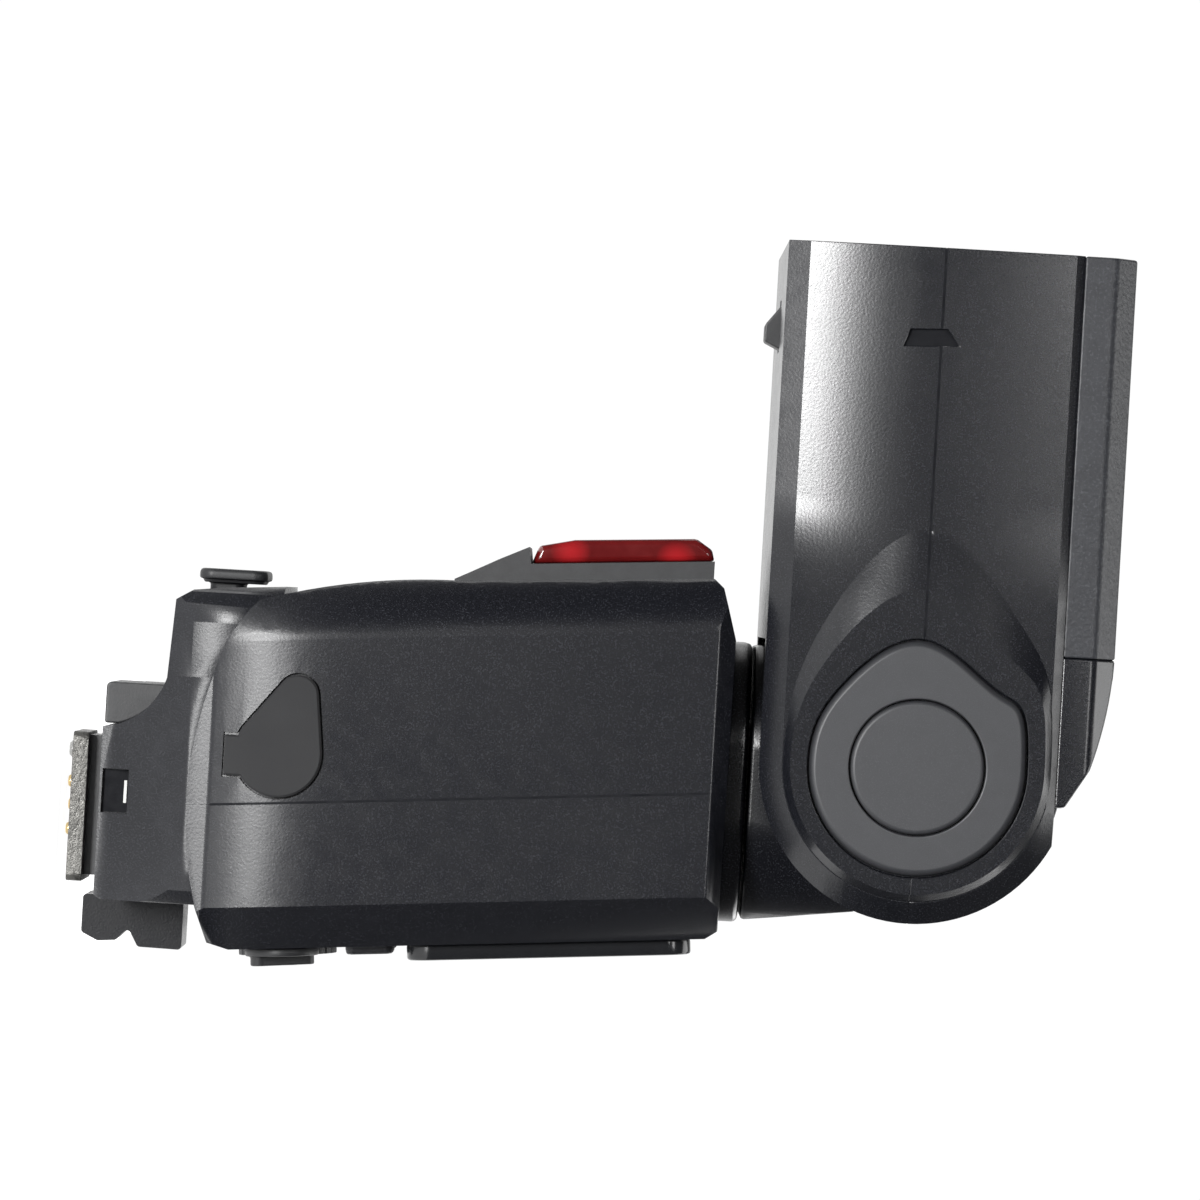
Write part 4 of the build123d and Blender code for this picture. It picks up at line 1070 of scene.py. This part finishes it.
@dataclass
class Base(SubAssembly):
    """The base under the body, its front cover and the power socket.

    Attributes:
        pocket: width and height of the near-black plate on the side pocket's floor, painted shade of the
            recess, in millimetres.
        pocket_side: how far the floor lies from the middle.
        pocket_forward: forward place of the floor's centre.
        mark: length, height and thickness of the white index line.
        mark_side: how far the line lies from the middle.
        mark_forward: forward place of its centre.
        mark_height: how high both lie.
    """

    pocket: tuple[float, float] = (5.3, 5.6)
    pocket_side: float = 18.86
    pocket_forward: float = 2.45
    mark: tuple[float, float, float] = (2.8, 0.35, 0.1)
    mark_side: float = 18.95
    mark_forward: float = 2.4
    mark_height: float = 7.4

    def build(self) -> None:
        """Make the base's pieces."""
        self.carve({
            "base_housing": 0.3, "base_front_cover": 0.35, "af_contact_cover": 0.3, "power_cap": 0.25,
        })
        self.dress("power_socket", "socket_pins")
        for sign, facing in SIDES:
            side = facing.value
            spot = place(sign * self.pocket_side, self.pocket_forward, self.mark_height)
            # a near-black plate on the pocket's floor: painted shade of the recess
            floor = settled(bar(*self.pocket, 0.06), facing, spot)
            self.add(f"pocket_shade_plate_{side}", "base", "painted_shade_black", floor)
            spot = place(sign * self.mark_side, self.mark_forward, self.mark_height)
            self.add(f"index_line_{side}", "base", "marking_white", settled(bar(*self.mark), facing, spot))


@dataclass
class BatteryBody(SubAssembly):
    """The main body: shells, focus-lamp window, sync cover and battery door.

    Attributes:
        tuck: how the flanks draw in towards the foot.
        seam_forward: forward place of the shells' seam at its lower and upper end, in millimetres.
        seam_height: height of those two ends.
        door_top: height from which the left-hand seam shows above the battery door.
        arrow: outline of the door's opening arrow.
        rib: width, length, height and bevel of a finger rib.
        rib_gap: from one rib to the next.
    """

    tuck: Crown = Crown(BODY_FLANK, 2.4, 34.0, -16.0, 2.0, -60.0, -59.0, 3.0)
    seam_forward: tuple[float, float] = (1.738, 6.614)
    seam_height: tuple[float, float] = (18.5, 79.6)
    door_top: float = 54.2
    arrow: tuple[tuple[float, float], ...] = (
        (-2.2, 0), (-2.2, -1.0), (1.0, -1.0), (1.0, -2.6), (4.2, 0.5), (1.0, 3.6), (1.0, 2.0), (-2.2, 2.0),
    )
    rib: tuple[float, float, float, float] = (0.7, 12.0, 0.45, 0.15)
    rib_gap: float = 1.7

    def build(self) -> None:
        """Make the body's pieces."""
        shells = {"body_front_shell": 0.1, "body_rear_shell": 0.1, "battery_door": 0.1}
        self.carve(shells, turn=60.0, crease=5.0, crowns=(self.tuck,))
        self.carve({"af_bezel": 0.3, "af_window": 0.3, "sync_cover": 0.4, "swivel_collar": 0.3})
        for sign, facing in SIDES:
            path = self.seam_path(sign)
            if facing is Facing.LEFT:
                path = [spot for spot in path if spot.z > self.door_top * MM]
            # a near-black strip along the shells' seam: painted shade of the gap between them
            seam = ribbon(path, Vector((0, 1, 0)), 0.3)
            self.add(f"body_seam_shade_{facing.value}", "base", "painted_shade_black", seam)
        self.mark_door()
        self.dress("af_lamps", "sync_socket", "battery_box", "aa_cells", "battery_contacts", "door_contacts",
                   "main_board", "main_capacitor")

    def seam_path(self, sign: int) -> list[Vector]:
        """The line where the front and rear shells meet on one flank.

        Args:
            sign: 1 for the right flank, -1 for the left.

        Returns:
            Its places from the foot end up, in metres.
        """
        (low, high), (back, front) = self.seam_height, self.seam_forward
        steps = 40
        path = []
        for step in range(steps + 1):
            height = low + (high - low) * step / steps
            forward = back + (front - back) * step / steps
            path.append(place(sign * (BODY_FLANK - self.tuck.drawn(height)), forward, height))
        return path

    def mark_door(self) -> None:
        """Raise the opening arrow and the finger ribs on the battery door."""
        arrow = settled(slab(list(self.arrow), 0.2, 0.05), Facing.LEFT, place(-32.92, 6, 37), 180)
        self.add("door_arrow", "battery_door", "marking_white", arrow)
        ribs = together([bar(*self.rib, x=self.rib_gap * step) for step in range(5)])
        ribs = settled(ribs, Facing.LEFT, place(-32.95, 18, 37))
        self.add("door_ribs", "battery_door", "body_plastic", ribs)


@dataclass
class RearPanel(SubAssembly):
    """The rear controls: display, keys, dial, switch and ready lamp.

    Attributes:
        key_row: height of the three keys on the panel, in millimetres.
        key_gap: from one key to the next.
        key_proud: how far a mark on a key lies off the panel.
        dial_height: height of the dial, the switch and the ready lamp.
        switch_side: how far the switch lies from the middle.
        display_height: height of the display's centre.
        ink: thickness of a printed mark.
        film: thickness of a figure on the display.
    """

    key_row: float = 38.8
    key_gap: float = 14.5
    key_proud: float = 1.28
    dial_height: float = 28.0
    switch_side: float = 19.5
    display_height: float = 61.0
    ink: float = 0.05
    film: float = 0.04

    def build(self) -> None:
        """Make the rear panel's pieces."""
        self.carve({
            "lcd_bezel": 0.35, "zoom_key": 0.35, "mode_key": 0.35, "test_key": 0.35, "power_switch": 0.2,
            "selector_dial": 0.12, "ok_button": 0.25, "ready_lamp": 0.2,
        })
        self.dress("lcd_window", "lcd_module")
        self.draw_display()
        self.mark_keys()
        self.mark_dials()

    def on_panel(self, name: str, body: str, mesh: bmesh.types.BMesh, x: float, height: float, proud: float,
                 slot: str = "marking_white") -> None:
        """Lay a flat piece on the sloping rear panel.

        Args:
            name: the piece's name.
            body: the body that it rides on.
            mesh: its shape on the X-Y plane.
            x: its place across, in millimetres.
            height: its place up the panel.
            proud: how far off the panel it lies.
            slot: its finish.
        """
        back, foot = PANEL_FOOT
        rise = (height - foot) * PANEL_UP.z
        spot = place(x, -back, foot) + (PANEL_UP * rise + PANEL_OUT * proud) * MM
        self.add(name, body, slot, settled(mesh, Facing.REAR, spot))

    def figure(self, lit: str, x: float, y: float, tall: float) -> list[bmesh.types.BMesh]:
        """The lit strokes of a seven-stroke figure.

        Args:
            lit: the lit strokes: t, m and b across, p and q on the left, r and s on the right.
            x: its left edge in millimetres.
            y: its foot.
            tall: its height.

        Returns:
            One small plate for each stroke.
        """
        wide, thin, upright = tall * 0.52, tall * 0.1, tall * 0.4
        strokes = {
            "t": (wide, thin, wide / 2, tall),
            "m": (wide, thin, wide / 2, tall / 2),
            "b": (wide, thin, wide / 2, 0),
            "p": (thin, upright, 0, tall * 0.75),
            "q": (thin, upright, 0, tall * 0.25),
            "r": (thin, upright, wide, tall * 0.75),
            "s": (thin, upright, wide, tall * 0.25),
        }
        plates = []
        for stroke in lit:
            width, height, left, foot = strokes[stroke]
            plates.append(bar(width, height, self.film, x=x + left, y=y + foot))
        return plates

    def draw_display(self) -> None:
        """Show figures, a scale, a row of cells and two flags on the liquid crystal panel."""
        plates = self.figure("mrsp", -15.5, 2.0, 8.0) + self.figure("tpmsb", -9.5, 2.0, 8.0)
        plates += self.figure("rs", 3.0, 4.5, 5.0) + self.figure("trmqb", 7.5, 4.5, 5.0)
        plates.append(bar(33.0, 0.25, self.film, y=-3.0))
        for step in range(17):
            tall = 1.6 if step % 4 == 0 else 0.9
            plates.append(bar(0.25, tall, self.film, x=-16.0 + 2.0 * step, y=-4.0))
        plates += [bar(1.4, 1.0, self.film, x=-15.3 + 2.0 * step, y=-6.4) for step in range(9)]
        plates.append(bar(4.4, 2.4, self.film, x=13.0, y=-8.4))
        plates.append(bar(2.6, 2.4, self.film, x=-14.5, y=-9.4))
        self.on_panel("display_figures", "base", together(plates), 0.0, self.display_height, 0.62, "lcd_ink")

    def mark_keys(self) -> None:
        """Print a generic mark on each key."""
        near = slab([(-1.4, -0.9), (0.0, -0.9), (-0.7, 0.9)], self.ink)
        far = slab([(0.6, -0.9), (2.6, -0.9), (1.6, 1.5)], self.ink)
        rows = [bar(3.2, 0.4, self.ink, y=0.9 * step) for step in (-1, 0, 1)]
        for key, mark, x in (
            ("zoom", together([near, far]), self.key_gap),
            ("mode", together(rows), 0.0),
            ("test", disc(0.9, self.ink), -self.key_gap),
        ):
            self.on_panel(f"{key}_mark", f"{key}_key", mark, x, self.key_row, self.key_proud)

    def mark_dials(self) -> None:
        """Print the dial's and the switch's marks, and the switch's places on the panel."""
        self.on_panel("ok_mark", "ok_button", disc(0.7, self.ink), 0.0, self.dial_height, 1.88)
        ticks = together([turned(bar(0.3, 1.1, self.ink, y=4.9), 45.0 * step) for step in range(8)])
        self.on_panel("dial_marks", "selector_dial", ticks, 0.0, self.dial_height, 1.68)
        line = bar(0.5, 3.0, self.ink, y=0.6)
        self.on_panel("switch_mark", "power_switch", line, self.switch_side, self.dial_height, 2.33)
        dots = together([turned(disc(0.4, 0.06, around=16, y=6.3), turn) for turn in (0.0, -25.0, -50.0)])
        self.on_panel("switch_places", "base", dots, self.switch_side, self.dial_height, 0.0)


@dataclass
class SwivelNeck(SubAssembly):
    """The neck between the body and the head."""

    def build(self) -> None:
        """Make the neck's pieces."""
        self.carve({"neck": 0.5})
        self.dress("swivel_shaft")


@dataclass
class FlashHead(SubAssembly):
    """The head: shells, hinge covers, lens, zoom works and the two slide-out panels.

    Attributes:
        notch: corners of the latch notch, forward and up, in millimetres.
        notch_floor: how far from the middle the notch's near-black insert, painted shade of the notch,
            starts.
        seams: forward and side places that the flank's seam runs through, behind and in front of the notch; a
            near-black strip of painted shade follows them.
        seam_height: height of the seam.
        lower_crown: how the flanks draw in below the seam.
        upper_crown: how they draw in above it.
    """

    notch: tuple[tuple[float, float], ...] = ((62.9, 100.4), (65.0, 101.2), (65.2, 105.7), (63.2, 107.2))
    notch_floor: float = 32.55
    seams: tuple[tuple[tuple[float, float], ...], ...] = (
        ((27.3, BOSS_FLANK), (33.1, BOSS_FLANK), (40.4, HEAD_FLANK), (63.0, HEAD_FLANK)),
        ((65.3, HEAD_FLANK), (75.0, HEAD_FLANK)),
    )
    seam_height: float = 105.0
    lower_crown: Crown = Crown(HEAD_FLANK, 2.4, 105.0, -16.6, 1.8, 31.0, 44.0)
    upper_crown: Crown = Crown(HEAD_FLANK, 2.4, 105.0, 17.0, 0.6, 31.0, 44.0)

    def build(self) -> None:
        """Make the head's pieces."""
        self.carve({"head_lower_shell": 0.1}, turn=60.0, crease=5.0, crowns=(self.lower_crown,))
        self.carve({"head_upper_shell": 0.1}, turn=60.0, crease=5.0, crowns=(self.upper_crown,))
        for sign, facing in SIDES:
            # near-black inserts in the latch notch and strips along the shells' seam: painted shade
            insert = slab([(-sign * forward, height) for forward, height in self.notch], 0.5)
            insert = settled(insert, facing, place(sign * self.notch_floor, 0, 0))
            self.add(f"notch_shade_insert_{facing.value}", "head", "painted_shade_black", insert)
            shade_strips = [
                ribbon([place(sign * side, forward, self.seam_height) for forward, side in seam],
                       Vector((0, 0, 1)), 0.34)
                for seam in self.seams
            ]
            self.add(f"head_seam_shade_{facing.value}", "head", "painted_shade_black", together(shade_strips))
        self.carve({
            "head_top_cover": 0.35, "grip_panel": 0.3,
            "front_bezel": 0.3, "hinge_cover_left": 0.25, "hinge_cover_right": 0.25, "hinge_cap": 0.3,
            "release_button": 0.3, "dome_key": 0.25,
        })
        self.dress("fresnel_lens", "tilt_axle", "guide_rods", "zoom_motor", "zoom_carriage", "reflector",
                   "flash_tube", "lead_screw", "wide_panel", "bounce_card")


# ---- Studio --------------------------------------------------------------------------------------


@dataclass
class SoftBox:
    """A soft light panel.

    Attributes:
        name: the light's name.
        spot: where it stands, in metres.
        target: what it points at.
        size: width and height in metres.
        power: watts.
    """

    name: str
    spot: tuple[float, float, float]
    target: tuple[float, float, float]
    size: tuple[float, float]
    power: float

    def hang(self) -> bpy.types.Object:
        """Put the light in the studio."""
        data = bpy.data.lights.new(self.name, "AREA")
        data.shape = "RECTANGLE"
        data.size, data.size_y = self.size
        data.energy = self.power
        made = bpy.data.objects.new(self.name, data)
        made.location = self.spot
        made.rotation_euler = (Vector(self.target) - Vector(self.spot)).to_track_quat("-Z", "Y").to_euler()
        made.visible_camera = False
        bpy.context.scene.collection.objects.link(made)
        return made


@dataclass
class Studio:
    """Pale floor, white surround, soft lights and the camera.

    Attributes:
        reach: how far the camera stands from the flash, in metres.
        width: width of the view at the flash, in metres.
        roll: turn of the camera about its own axis, in degrees.
        aim: the spot beside the flash that the camera looks at: forward is -Y, in metres.
        floor: radius of the floor, in metres.
        seen_white: strength of the surround where the camera sees it.
        side_glow: strength of the surround as a light, except behind the flash.
    """

    reach: float = 1.1
    width: float = 0.1519
    roll: float = 3.3
    aim: tuple[float, float] = (-0.0296, 0.065)
    floor: float = 0.18
    seen_white: float = 1.02
    side_glow: float = 0.08

    def build(self) -> None:
        """Set up the studio."""
        self.lay_floor()
        self.light_surround()
        middle = (0.0, -0.03, 0.065)
        for box in (
            SoftBox("key_panel", (1.1, -0.2, -0.37), (0.03, -0.05, 0.09), (0.32, 0.16), 13.0),
            SoftBox("shoulder_panel", (0.35, -0.06, 0.3), (0.03, -0.05, 0.11), (0.16, 0.08), 0.3),
            SoftBox("brow_panel", (1.1, -0.2, 0.34), (0.03, -0.05, 0.11), (0.24, 0.08), 0.8),
            SoftBox("front_panel", (-0.6, -0.8, 0.3), middle, (0.6, 0.5), 1.5),
            SoftBox("rear_panel", (-0.7, 0.6, 0.5), middle, (0.6, 0.6), 4.0),
            SoftBox("top_panel", (-0.2, 0.1, 1.1), middle, (0.6, 0.6), 4.0),
        ):
            box.hang()
        self.stand_camera()
        scene = bpy.context.scene
        scene.view_settings.view_transform = "Standard"
        scene.view_settings.look = "None"
        scene.view_settings.exposure = 0.0
        scene.view_settings.gamma = 1.0

    def lay_floor(self) -> None:
        """Lay a round pale floor just under the foot's contacts."""
        mesh = bmesh.new()
        bmesh.ops.create_circle(mesh, cap_ends=True, segments=96, radius=self.floor)
        bmesh.ops.translate(mesh, verts=mesh.verts, vec=(0, 0, CAD_BOX[0][2] - 0.0002))
        data = bpy.data.meshes.new("studio_floor")
        mesh.to_mesh(data)
        mesh.free()
        made = bpy.data.objects.new("studio_floor", data)
        bpy.context.scene.collection.objects.link(made)
        look = Surface("studio_white")
        cloud = look.node("TexNoise")
        look.feed(cloud, Vector=look.spot(), Scale=6.0, Detail=2.0)
        look.wire(look.span(cloud.outputs["Fac"], 0.3, 0.7, 0.75, 0.85), look.shader.inputs["Roughness"])
        look.shader.inputs["Base Color"].default_value = tint(0.9, 0.9, 0.9)
        look.shader.inputs["Emission Color"].default_value = tint(1, 1, 1)
        look.shader.inputs["Emission Strength"].default_value = 0.9
        made.data.materials.append(look.material)
        made.visible_shadow = False

    def light_surround(self) -> None:
        """Make the surround white to look at and softer as a light."""
        world = bpy.data.worlds.new("studio_surround")
        world.use_nodes = True
        bench = Bench(world.node_tree)
        back = world.node_tree.nodes["Background"]
        axes = bench.node("SeparateXYZ")
        bench.wire(bench.node("TexCoord").outputs["Generated"], axes.inputs["Vector"])
        glow = bench.span(axes.outputs["X"], -0.6, -0.95, self.side_glow, 1.0)
        seen = bench.node("LightPath").outputs["Is Camera Ray"]
        strength = bench.maths("MAXIMUM", glow, bench.maths("MULTIPLY", seen, self.seen_white))
        bench.feed(back, Color=tint(1, 1, 1), Strength=strength)
        bpy.context.scene.world = world

    def stand_camera(self) -> None:
        """Stand the camera off the right side, rolled so that the flash lies along the picture."""
        turn = math.radians(self.roll)
        right = Vector((0, -math.sin(turn), math.cos(turn)))
        up = Vector((0, -math.cos(turn), -math.sin(turn)))
        back = right.cross(up)
        data = bpy.data.cameras.new("studio_camera")
        data.sensor_width = 36.0
        data.lens = 36.0 * self.reach / self.width
        data.clip_start, data.clip_end = 0.05, 20.0
        made = bpy.data.objects.new("studio_camera", data)
        facing = Matrix((right, up, back)).transposed().to_4x4()
        made.matrix_world = Matrix.Translation((self.reach, *self.aim)) @ facing
        bpy.context.scene.collection.objects.link(made)
        bpy.context.scene.camera = made


# ---- Main ----------------------------------------------------------------------------------------


def main() -> None:
    """Build the flash and its studio, and log each piece's face count."""
    logging.basicConfig(level=logging.INFO, format="%(name)s: %(message)s")
    finishes = Finishes()
    Studio().build()
    for assembly in (
        Foot(finishes), Base(finishes), BatteryBody(finishes), RearPanel(finishes), SwivelNeck(finishes),
        FlashHead(finishes),
    ):
        assembly.build()
        for piece in assembly.made:
            log.info("%s: %s, %d faces", type(assembly).__name__, piece.name, len(piece.data.polygons))
    bpy.context.view_layer.update()


if __name__ == "__main__":
    main()
